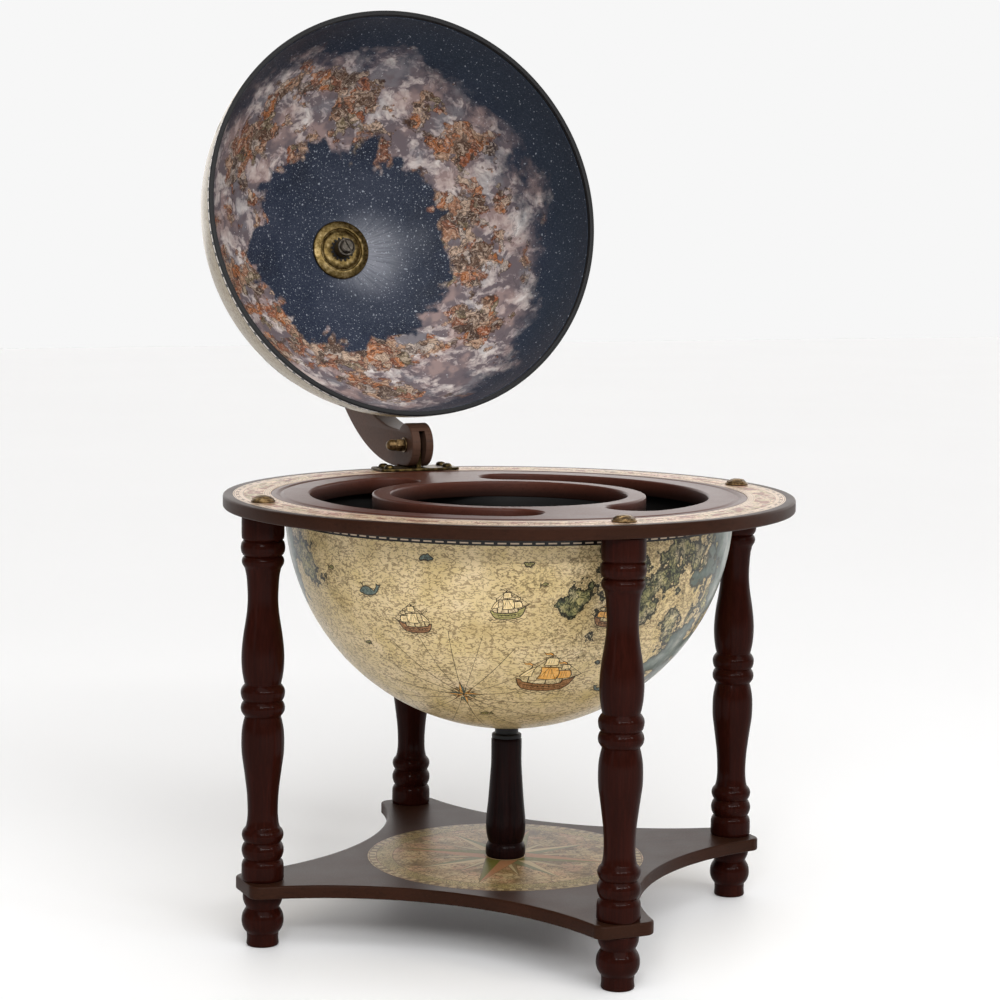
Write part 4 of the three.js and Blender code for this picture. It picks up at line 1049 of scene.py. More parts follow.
def wind_rose(s=1.0, reach=58.0):
    out = []
    for k in range(16):
        a = 2 * math.pi * k / 16
        out.append(pen([(6.6 * s * math.cos(a), 6.6 * s * math.sin(a)), (reach * math.cos(a), reach * math.sin(a))], 0.24 if k % 2 else 0.3, False, INK, 0))
    for count, turn, r1, r0, m0, m1 in ((8, math.pi / 8, 6.2, 2.2, CREAM, SLATE), (4, math.pi / 4, 7.6, 2.0, CREAM, RUST), (4, 0.0, 9.4, 2.2, OCHRE, SLATE)):
        for k in range(count):
            a = turn + 2 * math.pi * k / count
            tip = (r1 * math.cos(a), r1 * math.sin(a))
            for sgn, mm in ((1, m0), (-1, m1)):
                b = a + sgn * math.pi / (count if count == 8 else 4)
                out += wash([(0, 0), tip, (r0 * math.cos(b), r0 * math.sin(b))], mm, 1 if count == 8 else 2, s, 0.22)
    ring = [(5.2 * s * math.cos(t * math.pi / 24), 5.2 * s * math.sin(t * math.pi / 24)) for t in range(49)]
    out.append(pen(ring, 0.3, False, INK, 0))
    return out


def isle(seed, r=4.0, mat=OLIVE):
    rnd = random.Random(seed)
    ph = [rnd.uniform(0, 6.28) for _ in range(5)]
    pts = []
    for k in range(36):
        t = 2 * math.pi * k / 36
        q = r * (1 + 0.28 * math.sin(2 * t + ph[0]) + 0.18 * math.sin(3 * t + ph[1]) + 0.13 * math.sin(5 * t + ph[2]) + 0.09 * math.sin(8 * t + ph[3]))
        pts.append((q * math.cos(t), 0.7 * q * math.sin(t)))
    out = wash(pts, mat, 1, 1.0, 0.6)
    for k in range(4):
        x = -r * 0.5 + r * 0.34 * k
        out.append(pen(bow((x, -r * 0.2), (x + r * 0.25, r * 0.22), -0.4), 0.4, True, INK, 2))
    for d in (1.25, 1.5):
        out.append(pen([(x * d, y * d) for x, y in pts[20:34]], 0.28, True, INK, 0))
    return out


def print_on(name, figures, centre, radius, body, place=None):
    """Lays flat drawings on a globe as raised prints 0.06 mm proud. figures: (items, direction, turn in degrees, mirrored)."""
    bm = bmesh.new()
    for items, direction, turn, mirrored in figures:
        d = Vector(direction).normalized()
        east = Vector((0, 0, 1)).cross(d)
        east = east.normalized() if east.length > 1e-6 else Vector((1, 0, 0))
        north = d.cross(east)
        ct, st_ = math.cos(math.radians(turn)), math.sin(math.radians(turn))
        east, north = east * ct + north * st_, north * ct - east * st_
        for pts, polys, mat, level in items:
            part = bmesh.new()
            vs = [part.verts.new((-x if mirrored else x, y, 0)) for x, y in pts]
            for q in polys:
                try:
                    part.faces.new([vs[i] for i in q])
                except ValueError:
                    pass
            for _ in range(4):
                long_ = [e for e in part.edges if e.calc_length() > 3.6]
                if not long_:
                    break
                bmesh.ops.subdivide_edges(part, edges=long_, cuts=1)
                bmesh.ops.triangulate(part, faces=[f for f in part.faces if len(f.verts) > 4])
            part.verts.index_update()
            lift = (0.06 + 0.025 * level, -0.25)
            sets = []
            for h in lift:
                row_ = []
                for v in part.verts:
                    u, w = v.co.x, v.co.y
                    l = math.hypot(u, w)
                    t = (east * (u / l) + north * (w / l)) if l > 1e-9 else east
                    a = l / radius
                    row_.append(bm.verts.new((d * math.cos(a) + t * math.sin(a)) * (radius + h) + Vector(centre)))
                sets.append(row_)
            top, low = sets
            for f in part.faces:
                ids = [v.index for v in f.verts]
                for row_, order in ((top, ids), (low, ids[::-1])):
                    try:
                        bm.faces.new([row_[i] for i in order]).material_index = mat
                    except ValueError:
                        pass
            for e in part.edges:
                if len(e.link_faces) == 1:
                    i, j = e.verts[0].index, e.verts[1].index
                    try:
                        bm.faces.new([top[i], top[j], low[j], low[i]]).material_index = mat
                    except ValueError:
                        pass
            part.free()
    bm.verts.index_update()
    verts = [tuple(v.co) for v in bm.verts]
    faces = [tuple(v.index for v in f.verts) for f in bm.faces]
    ids = [f.material_index for f in bm.faces]
    bm.free()
    return build(name, verts, faces, FIGURE, body, slot="globe_print", sharp=35, place=place, mat_ids=ids)


SEA_LIFE = [
    (ship(1.38), facing(12, -44), -4, False), (ship(0.84, CREAM, CREAM, RUST), facing(-25, -26), 3, True), (ship(0.8, CREAM, CREAM, OLIVE), facing(0, -21), 4, False),
    (ship(0.74, OCHRE, CREAM, RUST), facing(27, -24), -5, True), (whale(0.75), facing(-38, -17), 6, False), (fish(0.8), facing(-10, -58), 12, False),
    (wind_rose(1.55, 64.0), facing(-16, -48), 0, False), (whale(0.6), facing(36, -47), -12, True), (isle(3, 3.6, SLATE), facing(-20, -7), 0, False), (isle(8, 2.6), facing(5, -8), 0, False),
    (isle(21, 2.2), facing(-44, -32), 0, False), (fish(0.6), facing(-50, -12), 0, True), (isle(5, 2.0, SLATE), facing(28, -36), 0, False), (fish(0.5), facing(9, -13), 8, True),
    (ship(0.9), facing(112, -32), 3, False), (serpent(0.9), facing(100, -52), 0, True), (ship(0.7, CREAM, CREAM, SLATE), facing(165, -50), 0, False), (whale(0.8), facing(-162, -26), 4, False),
    (ship(0.85), facing(-110, -22), -3, True), (wind_rose(1.0, 60.0), facing(-100, -52), 0, False), (fish(0.9), facing(-90, -30), 0, False), (isle(31, 3.4), facing(105, -14), 0, False),
    (serpent(0.7), facing(-145, -58), 0, False), (isle(44, 3.0, SLATE), facing(-175, -16), 0, False), (ship(0.6), facing(65, -58), 6, True)]
print_on("sea_figures_lower", SEA_LIFE, (0, 0, LOWER_CZ), GLOBE_R, "stand")


def lid_dir(az, co):
    a, c = math.radians(az), math.radians(co)
    return (math.sin(c) * math.cos(a), math.sin(c) * math.sin(a), math.cos(c))


LID_LIFE = [
    (ship(1.0), lid_dir(-60, 62), 0, False), (serpent(0.9), lid_dir(-30, 74), 0, True), (ship(0.7, CREAM, CREAM, SLATE), lid_dir(25, 58), 4, True), (whale(0.9), lid_dir(60, 72), 0, False),
    (wind_rose(1.0, 62.0), lid_dir(95, 48), 0, False), (ship(0.9), lid_dir(130, 70), -4, False), (fish(0.9), lid_dir(160, 55), 0, True), (serpent(0.8), lid_dir(190, 70), 3, False),
    (ship(0.75), lid_dir(225, 55), 0, True), (whale(0.7), lid_dir(255, 76), 0, True), (isle(9, 3.6), lid_dir(0, 66), 0, False), (isle(12, 3.0, SLATE), lid_dir(110, 80), 0, False),
    (fish(0.8), lid_dir(280, 60), 0, False), (wind_rose(0.9, 52.0), lid_dir(-40, 36), 0, False), (ship(0.6), lid_dir(180, 34), 0, False), (isle(17, 2.6), lid_dir(205, 84), 0, False)]
print_on("sea_figures_upper", LID_LIFE, (0, 0, 0), GLOBE_R, "lid", place=LID)

# ------------------------------------------------------------- legs and feet
LEG_RUNS = [
    [(309.9, 14.6), (309.2, 15.2)], [(309.2, 15.2), (303, 15.25), (296, 15.2), (294.2, 14.9), (292.8, 13.8)],
    [(292.8, 13.8), (291.6, 14.9), (289.4, 15.6), (287, 15.75), (284.4, 15.3), (282.4, 14.2), (281.6, 13.2)],
    [(281.6, 13.2), (280.4, 14.4), (278, 15.05), (275.6, 14.6), (273.6, 13.4), (272.4, 12.8)],
    [(272.4, 12.8), (267, 11.75), (258, 11.1), (250, 10.9), (242, 11.4), (234, 12.5), (226, 13.8), (216, 14.95), (208, 15.3), (200, 14.9), (194, 14.0), (189.6, 13.0)],
    [(189.6, 13.0), (188.2, 14.3), (185.6, 15.6), (182.6, 15.75), (179.4, 15.0), (177.5, 13.8)],
    [(177.5, 13.8), (176, 14.9), (173, 15.75), (170, 15.4), (167.6, 14.0), (166.3, 12.9)],
    [(166.3, 12.9), (162, 14.0), (156, 15.0), (147, 15.35), (139, 15.0), (131, 13.9), (122, 12.7), (113, 11.6), (104, 11.0), (95, 10.9), (89, 11.5), (86.2, 12.2), (85.2, 12.9)],
    [(85.2, 12.9), (84, 14.0), (81, 14.95), (78.4, 14.6), (76.2, 13.6), (75.2, 12.9)],
    [(75.2, 12.9), (73.8, 13.9), (71, 14.95), (68, 15.05), (65, 14.2), (62.8, 13.0)],
    [(62.8, 13.0), (61.4, 14.2), (59, 15.0), (56, 15.15), (49, 15.2)], [(49, 15.2), (47.9, 14.7)]]
FOOT_RUNS = [
    [(37.9, 13.8), (37.2, 14.3)], [(37.2, 14.3), (33.5, 14.15), (30.4, 13.2), (28.4, 12.2), (27.4, 11.9)],
    [(27.4, 11.9), (26, 12.8), (23, 14.4), (19, 15.1), (16, 14.95), (12.6, 13.9), (10.2, 12.3), (9.2, 11.5)],
    [(9.2, 11.5), (5, 11.3), (1.2, 11.65)], [(1.2, 11.65), (0.2, 11.2), (0.0, 10.4)]]


def turned_run(runs, sub=7):
    out = []
    for run in runs:
        pts = [(r, z) for z, r in run]
        line = curve(pts, sub) if len(pts) > 2 else pts
        out += line if not out else line[1:]
    return out


for k, (x, y) in LEGS.items():
    body = turned_run(LEG_RUNS)
    v, f = lathe([(0, body[0][1])] + body + [(0, body[-1][1])], 72, turn=0.31 * (1 + list(LEGS).index(k)))
    build("turned_leg_" + k, *moved((v, f), x, y), LEG, "stand", ["leg_" + k, "leg_bolt_" + k], "leg_wood", sharp=38)
    body = turned_run(FOOT_RUNS)
    v, f = lathe([(0, body[0][1])] + body + [(0, 0.0)], 72)
    build("turned_foot_" + k, *moved((v, f), x, y), LEG, "stand", ["foot_" + k, "foot_stud_" + k], "leg_wood", sharp=38)


def hammered(shape, top, depth, size, seed):
    """Gives a dome a hand-hammered face."""
    v, f = shape
    out = []
    for x, y, z in v:
        if z > top:
            d = noise.voronoi(Vector((x / size + seed, y / size - seed, z / size)))[0]
            k = min(1.0, (z - top) / 1.2) * depth * (min(d[0], 0.8) - 0.4)
            out.append((x, y, z - k))
        else:
            out.append((x, y, z))
    return out, f


def forged(base, z0, rim, rings, sides, seed):
    """A cap nut: a turned rim under a low dome of flat, hand-struck facets."""
    rnd = random.Random(seed)
    v1, f1 = lathe(rounded(rim, 3), 48)
    turn0 = rnd.uniform(0, 6.28)
    v2, f2, rows = [], [], []
    for k, (r, z) in enumerate(rings):
        if r < 1e-6:
            rows.append([len(v2)])
            v2.append((0.3, -0.2, z))
            continue
        rows.append(list(range(len(v2), len(v2) + sides)))
        for i in range(sides):
            a = turn0 + 2 * math.pi * (i + 0.5 * (k % 2) + rnd.uniform(-0.12, 0.12)) / sides
            q = r * (1 if k == 0 else rnd.uniform(0.93, 1.05))
            v2.append((q * math.cos(a), q * math.sin(a), z + (0 if k == 0 else rnd.uniform(-0.14, 0.1))))
    for a, b in zip(rows, rows[1:]):
        for i in range(sides):
            j = (i + 1) % sides
            if len(a) == 1:
                f2.append((a[0], b[j], b[i]))
            elif len(b) == 1:
                f2.append((a[i], a[j], b[0]))
            else:
                f2 += [(a[i], a[j], b[j]), (a[i], b[j], b[i])]
    return joined((v1, f1), (v2, f2))


def cap_nut(z, seed):
    return forged(0, z, [(0, z), (8.4, z), (8.75, z + 0.3, 0.2), (8.75, z + 0.9, 0.3), (8.3, z + 1.35, 0.3), (0, z + 1.35)],
                  [(0, z + 1.2), (8.05, z + 1.2), (7.5, z + 2.5), (4.9, z + 4.0), (2.2, z + 4.55), (0, z + 4.7)], 9, seed)


for k in ("front", "left", "right"):
    build("brass_cap_" + k, *moved(cap_nut(319.95, {"front": 3, "left": 11, "right": 29}[k]), *LEGS[k]), BRASS, "stand", ["cap_nut_" + k], "brass", sharp=14)

# ------------------------------------------------------------------ lower shelf
def shelf_outline():
    c, big, hw, cr, end, straight, n = 232.4, 212.7, 22.7, 9.0, 205.7, 196.7, 72
    dip = math.sqrt(big * big - (straight - c) ** 2)
    a_s, a_e = math.degrees(math.atan2(-dip, straight - c)) + 360, math.degrees(math.atan2(straight - c, -dip)) + 360
    q = ([(end, y) for y in (0.0, 4.5, 9.0)] + arc(end - cr, hw - cr, cr, 0, 90, 10)
         + [(x, y) for x, y in arc(c, c, big, a_s, a_e, n)] + arc(hw - cr, end - cr, cr, 0, 90, 10) + [(9.0, end), (4.5, end)])
    pts = []
    for ca, sa in ((1, 0), (0, 1), (-1, 0), (0, -1)):
        pts += [(x * ca - y * sa, x * sa + y * ca) for x, y in q]
    return pts


disc = [(103.1 * x, 103.1 * y) for x, y in circle]
v, f, flat = slab(shelf_outline(), [], SHELF_TOP - SHELF_T, SHELF_TOP - 0.02, 1.2, 1.5)
build("shelf_board", v, f, BOARD, "stand", ["lower_shelf"], "board_wood", sharp=28, flat=flat)
v, f = lathe(rounded([(4.0, 47.3), (102.8, 47.3), (102.8, 47.62, 0.1), (4.0, 47.62), (4.0, 47.3)]), 256, loop=True)
build("shelf_rose", v, f, COMPASS, "stand", ["shelf_compass_print"], "compass_print", sharp=40)

# ----------------------------------------------------------------- centre pillar
runs = [[(137.3, 10.6), (136.2, 11.3)], [(136.2, 11.3), (128, 11.3), (118, 11.35), (108, 12.0), (98, 12.7), (90, 13.3), (78, 14.45), (71, 14.75), (66, 14.5), (62, 13.7), (58.8, 12.7)],
        [(58.8, 12.7), (57.4, 13.8), (55, 14.6), (51.6, 14.8), (49.2, 14.6), (47.9, 14.0)]]
body = turned_run(runs)
v, f = lathe([(0, body[0][1])] + body + [(0, body[-1][1])], 72)
build("centre_pillar", v, f, PILLAR, "stand", ["pillar"], "leg_wood", sharp=38)
v, f = lathe(rounded([(3.4, 137.45), (11.0, 137.45, 0.3), (11.0, 140.3, 1.0), (8.7, 140.7, 0.4), (8.7, 146.5, 0.2), (3.4, 146.5)]) + [(3.4, 137.45)], 64, loop=True)
build("pillar_ferrule", v, f, BLACK, "stand", ["pillar_collar"], "black_trim", sharp=35)
v, f = lathe(rounded([(0, 101), (2.9, 101), (2.9, 152.6), (5.6, 152.6, 0.2), (5.6, 155.2, 0.8), (4.4, 156.4, 0.5), (0, 156.4)]), 32)
build("pillar_screw", v, f, STEEL, "stand", ["pillar_bolt"], "steel", sharp=35)
v, f = lathe(rounded([(3.3, 150.8), (8.5, 150.8, 0.2), (8.5, 152.2, 0.3), (3.3, 152.2)]) + [(3.3, 150.8)], 40, loop=True)
build("pillar_screw_washer", v, f, STEEL, "stand", ["pillar_washer"], "steel", sharp=35)
v, f = lathe(rounded([(0, 34.8), (4.6, 34.8, 0.8), (6.0, 36.4, 0.5), (6.0, 37.9), (2.8, 37.9), (2.8, 76), (0, 76)]), 32)
ob = build("shelf_screw", v, f, STEEL, "stand", ["pillar_base_screw"], "steel", sharp=35)
cross = []
for w, l in ((0.5, 3.2), (3.2, 0.5)):
    cross.append(slab([(-w, -l), (w, -l), (w, l), (-w, l)], [], 30, 36.4, 0.01, 0.01, 1)[:2])
cut(ob, *cross)

# ---------------------------------------------------------------- hinge bracket
def round_rect(x0, x1, y0, y1, r, n=6):
    return (arc(x1 - r, y0 + r, r, -90, 0, n) + arc(x1 - r, y1 - r, r, 0, 90, n)
            + arc(x0 + r, y1 - r, r, 90, 180, n) + arc(x0 + r, y0 + r, r, 180, 270, n))


def side_slab(outline, x0, x1, r0=0.3, r1=0.3, seg=3):
    v, f, flat = slab(outline, [], x0, x1, r0, r1, seg)
    return [(c, a, b) for a, b, c in v], f, flat


fl = slab(round_rect(-33.3, 33.3, PIVOT_Y - 13.5, PIVOT_Y + 13.5, 2.5), [], 320.0, 322.0, 0.2, 0.5, 3)
tg = side_slab([(PIVOT_Y - 8, 320.6), (PIVOT_Y + 8, 320.6)] + arc(PIVOT_Y, PIVOT_Z, 8, 0, 180, 28), -2.0, 2.0)
v, f = joined(fl[:2], tg[:2])
build("hinge_plate", v, f, DARK_BRASS, "stand", ["hinge_bracket"], "brass", sharp=32, flat=fl[2] + [i + len(fl[1]) for i in tg[2]])
SCREW = rounded([(0, 312.2), (1.9, 313.2), (1.9, 322.3), (4.1, 322.3, 0.15), (4.0, 322.9, 0.2)], 3) + curve([(4.0, 322.9), (3.3, 324.1), (2.0, 324.8), (0, 325.0)], 5)[1:]
for (x, y), k in {(-24.8, 179.5): "left_inner", (-24.8, 192.5): "left_outer", (24.8, 179.5): "right_inner", (24.8, 192.5): "right_outer"}.items():
    ob = build("plate_screw_" + k, *moved(lathe(SCREW, 32), x, y), DARK_BRASS, "stand", ["bracket_screw_" + k], "brass", sharp=35)
    a = math.radians({"left_inner": 20, "left_outer": 65, "right_inner": -35, "right_outer": 8}[k])
    bars = []
    for w, l in ((0.42, 2.3), (2.3, 0.42)):
        q = [(x + sx * w * math.cos(a) - sy * l * math.sin(a), y + sx * w * math.sin(a) + sy * l * math.cos(a)) for sx, sy in ((-1, -1), (1, -1), (1, 1), (-1, 1))]
        bars.append(slab(q, [], 323.9, 330, 0.01, 0.01, 1)[:2])
    cut(ob, *bars)

# -------------------------------------------------------------------- curved arm
cy, cz = LID_C[1], LID_C[2]
g = lambda r, a: (cy + r * math.cos(a), cz + r * math.sin(a))
pole_a = math.atan2(math.cos(OPEN), math.sin(OPEN))           # the pole's direction in the side view
flat_z, step_y = 322.5, 201.5
a_step = -math.acos((step_y - cy) / ARM_RO)
outer_arc = [g(ARM_RO, pole_a + (a_step - pole_a) * k / 90) for k in range(91)]
foot_r = PIVOT_Z - flat_z
# where the foot's round meets the inside edge of the arm
best = min((abs(math.hypot(PIVOT_Y + foot_r * math.cos(t) - cy, PIVOT_Z + foot_r * math.sin(t) - cz) - ARM_RI), t)
           for t in [math.radians(d / 10) for d in range(0, 900)])[1]
foot_arc = arc(PIVOT_Y, PIVOT_Z, foot_r, 270, math.degrees(best), 44)
fx, fz = foot_arc[-1]
a_in = math.atan2(fz - cz, fx - cy)
inner_arc = [g(ARM_RI, a_in + (pole_a - a_in) * k / 90) for k in range(91)]
mid, hw = (ARM_RI + ARM_RO) / 2, (ARM_RO - ARM_RI) / 2
cap = [(g(mid, pole_a)[0] + hw * math.cos(t), g(mid, pole_a)[1] + hw * math.sin(t))
       for t in [pole_a + math.pi - math.pi * k / 24 for k in range(1, 24)]]
cap = cap if abs(cap[0][0] - inner_arc[-1][0]) + abs(cap[0][1] - inner_arc[-1][1]) < 6 else cap[::-1]
outline = outer_arc + [(step_y, flat_z)] + foot_arc + inner_arc[1:] + cap
outline = outline if area(outline) > 0 else outline[::-1]
v, f, flat = side_slab(outline, -ARM_T / 2, ARM_T / 2, 1.3, 1.3, 4)
arm = build("curved_arm", v, f, board_look("arm_lacquer", shades=((74, 53, 43), (88, 64, 53), (58, 40, 32), (110, 84, 70))), "lid_arm", ["meridian_arm"], "board_wood", sharp=28, flat=flat)
d = math.pi - (OPEN - math.pi / 2)
s9 = 9.0
slot_line = ([(PIVOT_Y + s9, PIVOT_Z - 60), (PIVOT_Y + s9, PIVOT_Z)] + arc(PIVOT_Y, PIVOT_Z, s9, 0, math.degrees(d) - 90, 16)[1:]
             + [(PIVOT_Y + s9 * math.cos(d - math.pi / 2) + 50 * math.cos(d), PIVOT_Z + s9 * math.sin(d - math.pi / 2) + 50 * math.sin(d)),
                (PIVOT_Y - 60, PIVOT_Z - 60)])
sv, sf, _ = side_slab(slot_line, -2.5, 2.5, 0.01, 0.01, 1)
cut(arm, (sv, sf))

# hinge pin
v, f = along_x(lathe(rounded([(0, -20.5), (3.0, -20.5), (3.0, 9.7), (5.6, 9.7, 0.2), (5.6, 10.8, 0.4)], 3) + curve([(5.6, 10.8), (4.8, 12.2), (2.8, 13.3), (0, 13.6)], 5)[1:], 40))
build("hinge_pin", *moved((v, f), 0, PIVOT_Y, PIVOT_Z), BRASS, "lid_arm", ["hinge_bolt"], "brass", sharp=35)
v, f = along_x(lathe(rounded([(3.4, -10.4), (6.0, -10.4, 0.2), (6.0, -9.4, 0.2), (3.4, -9.4)]) + [(3.4, -10.4)], 40, loop=True))
build("hinge_pin_washer", *moved((v, f), 0, PIVOT_Y, PIVOT_Z), BRASS, "lid_arm", ["hinge_washer"], "brass", sharp=35)
hexa = lathe(rounded([(0, -17.3), (5.3, -17.3, 0.3), (5.3, -10.8, 0.3), (0, -10.8)], 3), 6)
dome = lathe(curve([(0, -25.0), (1.8, -24.7), (3.5, -23.4), (4.4, -21.2), (4.6, -19.0), (4.6, -17.0)], 6) + [(0, -17.0)], 40)
build("hinge_acorn", *moved(along_x(joined(hexa, dome)), 0, PIVOT_Y, PIVOT_Z), BRASS, "lid_arm", ["hinge_cap_nut"], "brass", sharp=30)

# ------------------------------------------------------------- fastening at the pole
ROSE = (curve([(3.6, 155.3), (7.5, 155.1), (10.5, 155.0), (13.0, 155.1), (15.0, 155.5), (16.4, 156.2), (17.2, 156.9)], 5)[:-1]
        + curve([(17.2, 156.9), (17.6, 156.9), (17.85, 155.9), (18.5, 155.15), (19.6, 155.1), (21.6, 155.6), (23.6, 156.2), (24.8, 156.8), (25.2, 157.6)], 5) + [(25.15, 158.0), (10.0, 159.4), (3.6, 159.6)])
v, f = hammered(lathe([(r, z) for r, z in ROSE], 96, loop=True), 1e9, 0, 1, 0)
build("pole_rose", v, f, ROSE_BRASS, "lid", ["pole_rosette"], "brass", sharp=35, place=LID)
teeth = []
for i in range(16):
    for fr, r in ((0.0, 8.6), (0.12, 8.7), (0.22, 10.4), (0.56, 10.4), (0.68, 8.7), (0.84, 8.6)):
        t = 2 * math.pi * (i + fr) / 16
        teeth.append((r * math.cos(t), r * math.sin(t)))
v, f, flat = slab(teeth, [arc(0, 0, 3.6, 0, 350, 35)], 153.9, 154.95, 0.15, 0.15, 2)
build("toothed_washer", v, f, BLACK, "lid", ["star_washer"], "black_trim", sharp=30, flat=flat, place=LID)
v, f = lathe(rounded([(3.6, 143.2), (7.4, 143.2, 0.3), (7.9, 144.0, 0.3), (7.9, 153.7), (3.6, 153.7)]) + [(3.6, 143.2)], 48, loop=True)
build("pole_sleeve", v, f, BRONZE, "lid_arm", ["pole_collar"], "black_trim", sharp=35, place=LID)
v, f = lathe(rounded([(0, 139.5), (4.6, 139.5, 0.5), (6.1, 140.6, 0.4), (6.1, 142.8, 0.2), (3.1, 142.8), (3.1, 209.4), (0, 209.4)]), 40)
ob = build("pole_bolt", v, f, BRONZE, "lid_arm", ["pole_screw"], "brass", sharp=35, place=LID)
a = math.radians(60)
q = [(sx * 8 * math.cos(a) - sy * 0.6 * math.sin(a), sx * 8 * math.sin(a) + sy * 0.6 * math.cos(a)) for sx, sy in ((-1, -1), (1, -1), (1, 1), (-1, 1))]
sv, sf, _ = slab(q, [], 130, 140.9, 0.01, 0.01, 1)
lid_np = np.array(LID)
sv = (np.array(sv) @ lid_np[:3, :3].T + lid_np[:3, 3]).tolist()
cut(ob, (sv, sf))
v, f = lathe(rounded([(3.6, 165.4), (9.0, 165.2, 0.3), (9.0, 174.0, 0.3), (3.6, 174.0)]) + [(3.6, 165.4)], 48, loop=True)
build("pole_distance_ring", v, f, BRASS, "lid_arm", ["pole_spacer"], "brass", sharp=35, place=LID)
cap = forged(0, 205.35, [(0, 205.35), (8.4, 205.35), (8.75, 205.7, 0.2), (8.75, 206.6, 0.3), (8.3, 207.2, 0.3), (0, 207.2)],
             [(0, 207.0), (8.0, 207.0), (7.2, 209.2), (4.8, 211.2), (2.2, 212.1), (0, 212.3)], 9, 47)
build("pole_cap", *cap, BRASS, "lid_arm", ["pole_cap_nut"], "brass", sharp=14, place=LID)


# -------------------------------------------------------------------- the stage
def floor_look():
    m = Look("studio_floor", Roughness=0.6, Specular=0.2)
    p = m.vec("SCALE", m.place, scale=1.0)
    m.set("Base", m.ramp(m.noise(p, 1.5, 3, 0.5), [(0.3, srgb(249, 250, 251)), (0.7, srgb(251, 252, 253))]))
    return m.mat


mesh = bpy.data.meshes.new("floor")
mesh.from_pydata([(-8, -8, 0), (8, -8, 0), (8, 8, 0), (-8, 8, 0)], [], [(0, 1, 2, 3)])
mesh.materials.append(floor_look())
floor = bpy.data.objects.new("floor", mesh)
floor.location = (0, 0, -0.0002)
bpy.context.scene.collection.objects.link(floor)

world = bpy.data.worlds.new("studio")
world.use_nodes = True
wt = world.node_tree
for n in list(wt.nodes):
    wt.nodes.remove(n)
w_out, w_seen, w_cast, w_mix = (wt.nodes.new(k) for k in ("ShaderNodeOutputWorld", "ShaderNodeBackground", "ShaderNodeBackground", "ShaderNodeMixShader"))
w_path, w_co, w_dot, w_map = (wt.nodes.new(k) for k in ("ShaderNodeLightPath", "ShaderNodeTexCoord", "ShaderNodeVectorMath", "ShaderNodeMapRange"))
w_sep, w_low, w_mul, w_add = (wt.nodes.new(k) for k in ("ShaderNodeSeparateXYZ", "ShaderNodeMapRange", "ShaderNodeMath", "ShaderNodeMath"))
w_seen.inputs[0].default_value = (1, 1, 1, 1)
w_seen.inputs[1].default_value = 0.93
w_cast.inputs[0].default_value = (1, 0.975, 0.955, 1)
w_dot.operation = "DOT_PRODUCT"
w_dot.inputs[1].default_value = (0.62, 0.785, 0.0)
w_mul.operation, w_add.operation = "MULTIPLY", "ADD"
w_add.inputs[1].default_value = 0.24
for node, values in ((w_map, (0.0, 0.95, 0.0, 2.0)), (w_low, (0.25, 0.75, 1.0, 0.25))):
    node.interpolation_type = "SMOOTHSTEP"
    for i, v in enumerate(values):
        node.inputs[i + 1].default_value = v
wt.links.new(w_co.outputs["Generated"], w_dot.inputs[0])
wt.links.new(w_co.outputs["Generated"], w_sep.inputs[0])
wt.links.new(w_dot.outputs["Value"], w_map.inputs[0])
wt.links.new(w_sep.outputs[2], w_low.inputs[0])
wt.links.new(w_map.outputs[0], w_mul.inputs[0])
wt.links.new(w_low.outputs[0], w_mul.inputs[1])
wt.links.new(w_mul.outputs[0], w_add.inputs[0])
wt.links.new(w_add.outputs[0], w_cast.inputs[1])
wt.links.new(w_path.outputs["Is Camera Ray"], w_mix.inputs[0])
wt.links.new(w_cast.outputs[0], w_mix.inputs[1])
wt.links.new(w_seen.outputs[0], w_mix.inputs[2])
wt.links.new(w_mix.outputs[0], w_out.inputs[0])
bpy.context.scene.world = world


def lamp(name, place, aim, size, power, color=(1, 1, 1)):
    data = bpy.data.lights.new(name, "AREA")
    data.shape, data.size, data.size_y = "RECTANGLE", size[0], size[1]
    data.energy, data.color = power, color
    ob = bpy.data.objects.new(name, data)
    ob.location = place
    ob.rotation_euler = (Vector(aim) - Vector(place)).to_track_quat("-Z", "Y").to_euler()
    bpy.context.scene.collection.objects.link(ob)


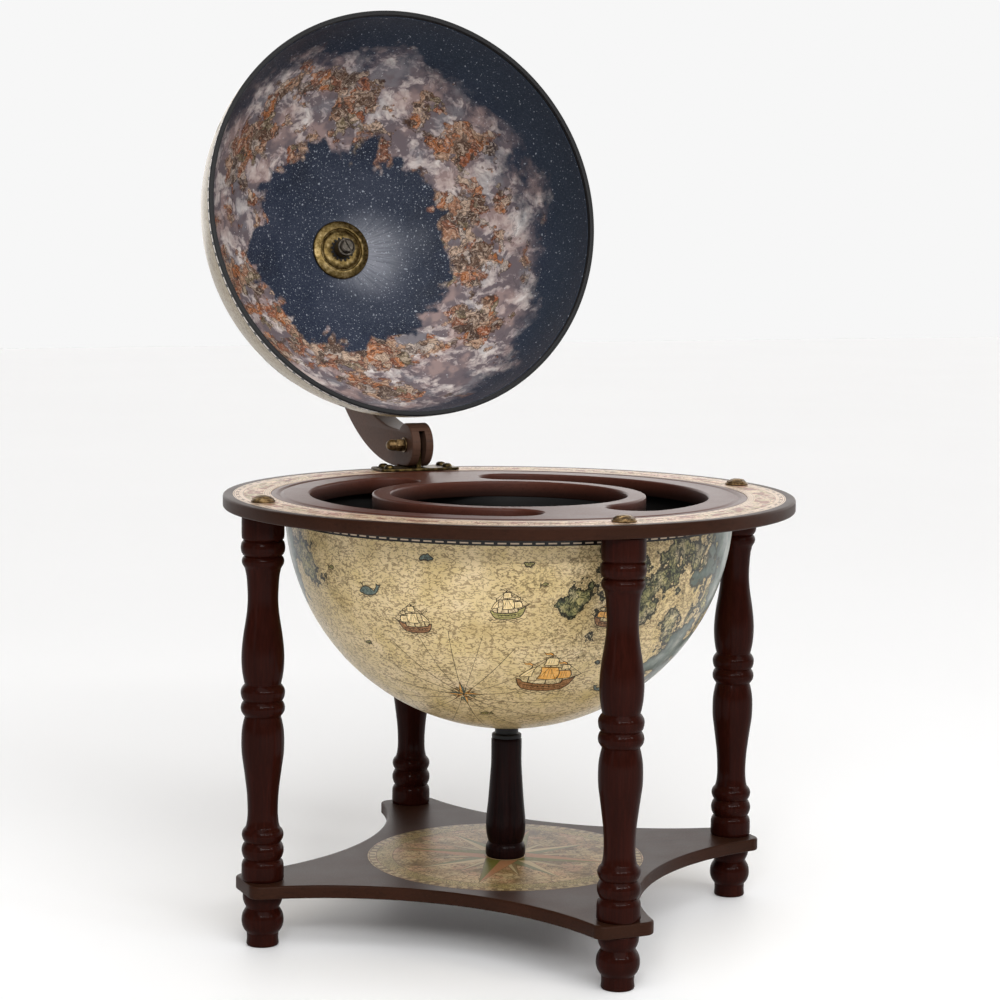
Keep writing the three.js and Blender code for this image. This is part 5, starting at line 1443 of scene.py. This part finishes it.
def soft_sun(name, toward, strength, width):
    data = bpy.data.lights.new(name, "SUN")
    data.energy, data.angle = strength, math.radians(width)
    ob = bpy.data.objects.new(name, data)
    ob.rotation_euler = (-Vector(toward)).to_track_quat("-Z", "Y").to_euler()
    bpy.context.scene.collection.objects.link(ob)


soft_sun("sky_soft", (-0.1, -0.6, 1.0), 1.45, 60)
lamp("softbox_front", (-1.15, -1.9, 1.3), (0, 0, 0.35), (0.28, 0.6), 7)
lamp("strip_front", (-0.3, -2.1, 1.15), (0, 0, 0.35), (2.0, 0.07), 17)
lamp("softbox_left", (-2.1, -0.9, 0.6), (0, 0, 0.3), (0.5, 0.9), 1.2)
lamp("softbox_right", (1.1, -1.9, 1.2), (0, 0, 0.3), (0.22, 0.45), 5)

# -------------------------------------------------------------------- the camera
FRONT = math.radians(23.96)
pitch, yaw, roll = math.radians(-5.411736), math.radians(-0.534011), math.radians(0.537074)


def row(p):
    x, y, z = p
    return Vector((x * math.cos(FRONT) + y * math.sin(FRONT), -x * math.sin(FRONT) + y * math.cos(FRONT), z))


fw = Vector((math.sin(yaw) * math.cos(pitch), math.cos(yaw) * math.cos(pitch), math.sin(pitch)))
right = fw.cross(Vector((0, 0, 1))).normalized()
up = right.cross(fw)
right, up = right * math.cos(roll) + up * math.sin(roll), up * math.cos(roll) - right * math.sin(roll)
R, U, F = row(right), row(up), row(fw)
data = bpy.data.cameras.new("camera")
data.sensor_width, data.lens = 36.0, 36.0 * 2612.3325 / 1000
data.shift_x, data.shift_y = 0.0148454, -0.0376299
data.clip_start, data.clip_end = 0.05, 50
cam = bpy.data.objects.new("camera", data)
place = row((0, -1914.5743, 523.6119))
cam.matrix_world = Matrix(((R.x, U.x, -F.x, place.x * MM), (R.y, U.y, -F.y, (place.y + Y_SHIFT) * MM), (R.z, U.z, -F.z, place.z * MM), (0, 0, 0, 1)))
bpy.context.scene.collection.objects.link(cam)
bpy.context.scene.camera = cam
bpy.context.scene.view_settings.view_transform = "Standard"
bpy.context.scene.view_settings.look = "None"
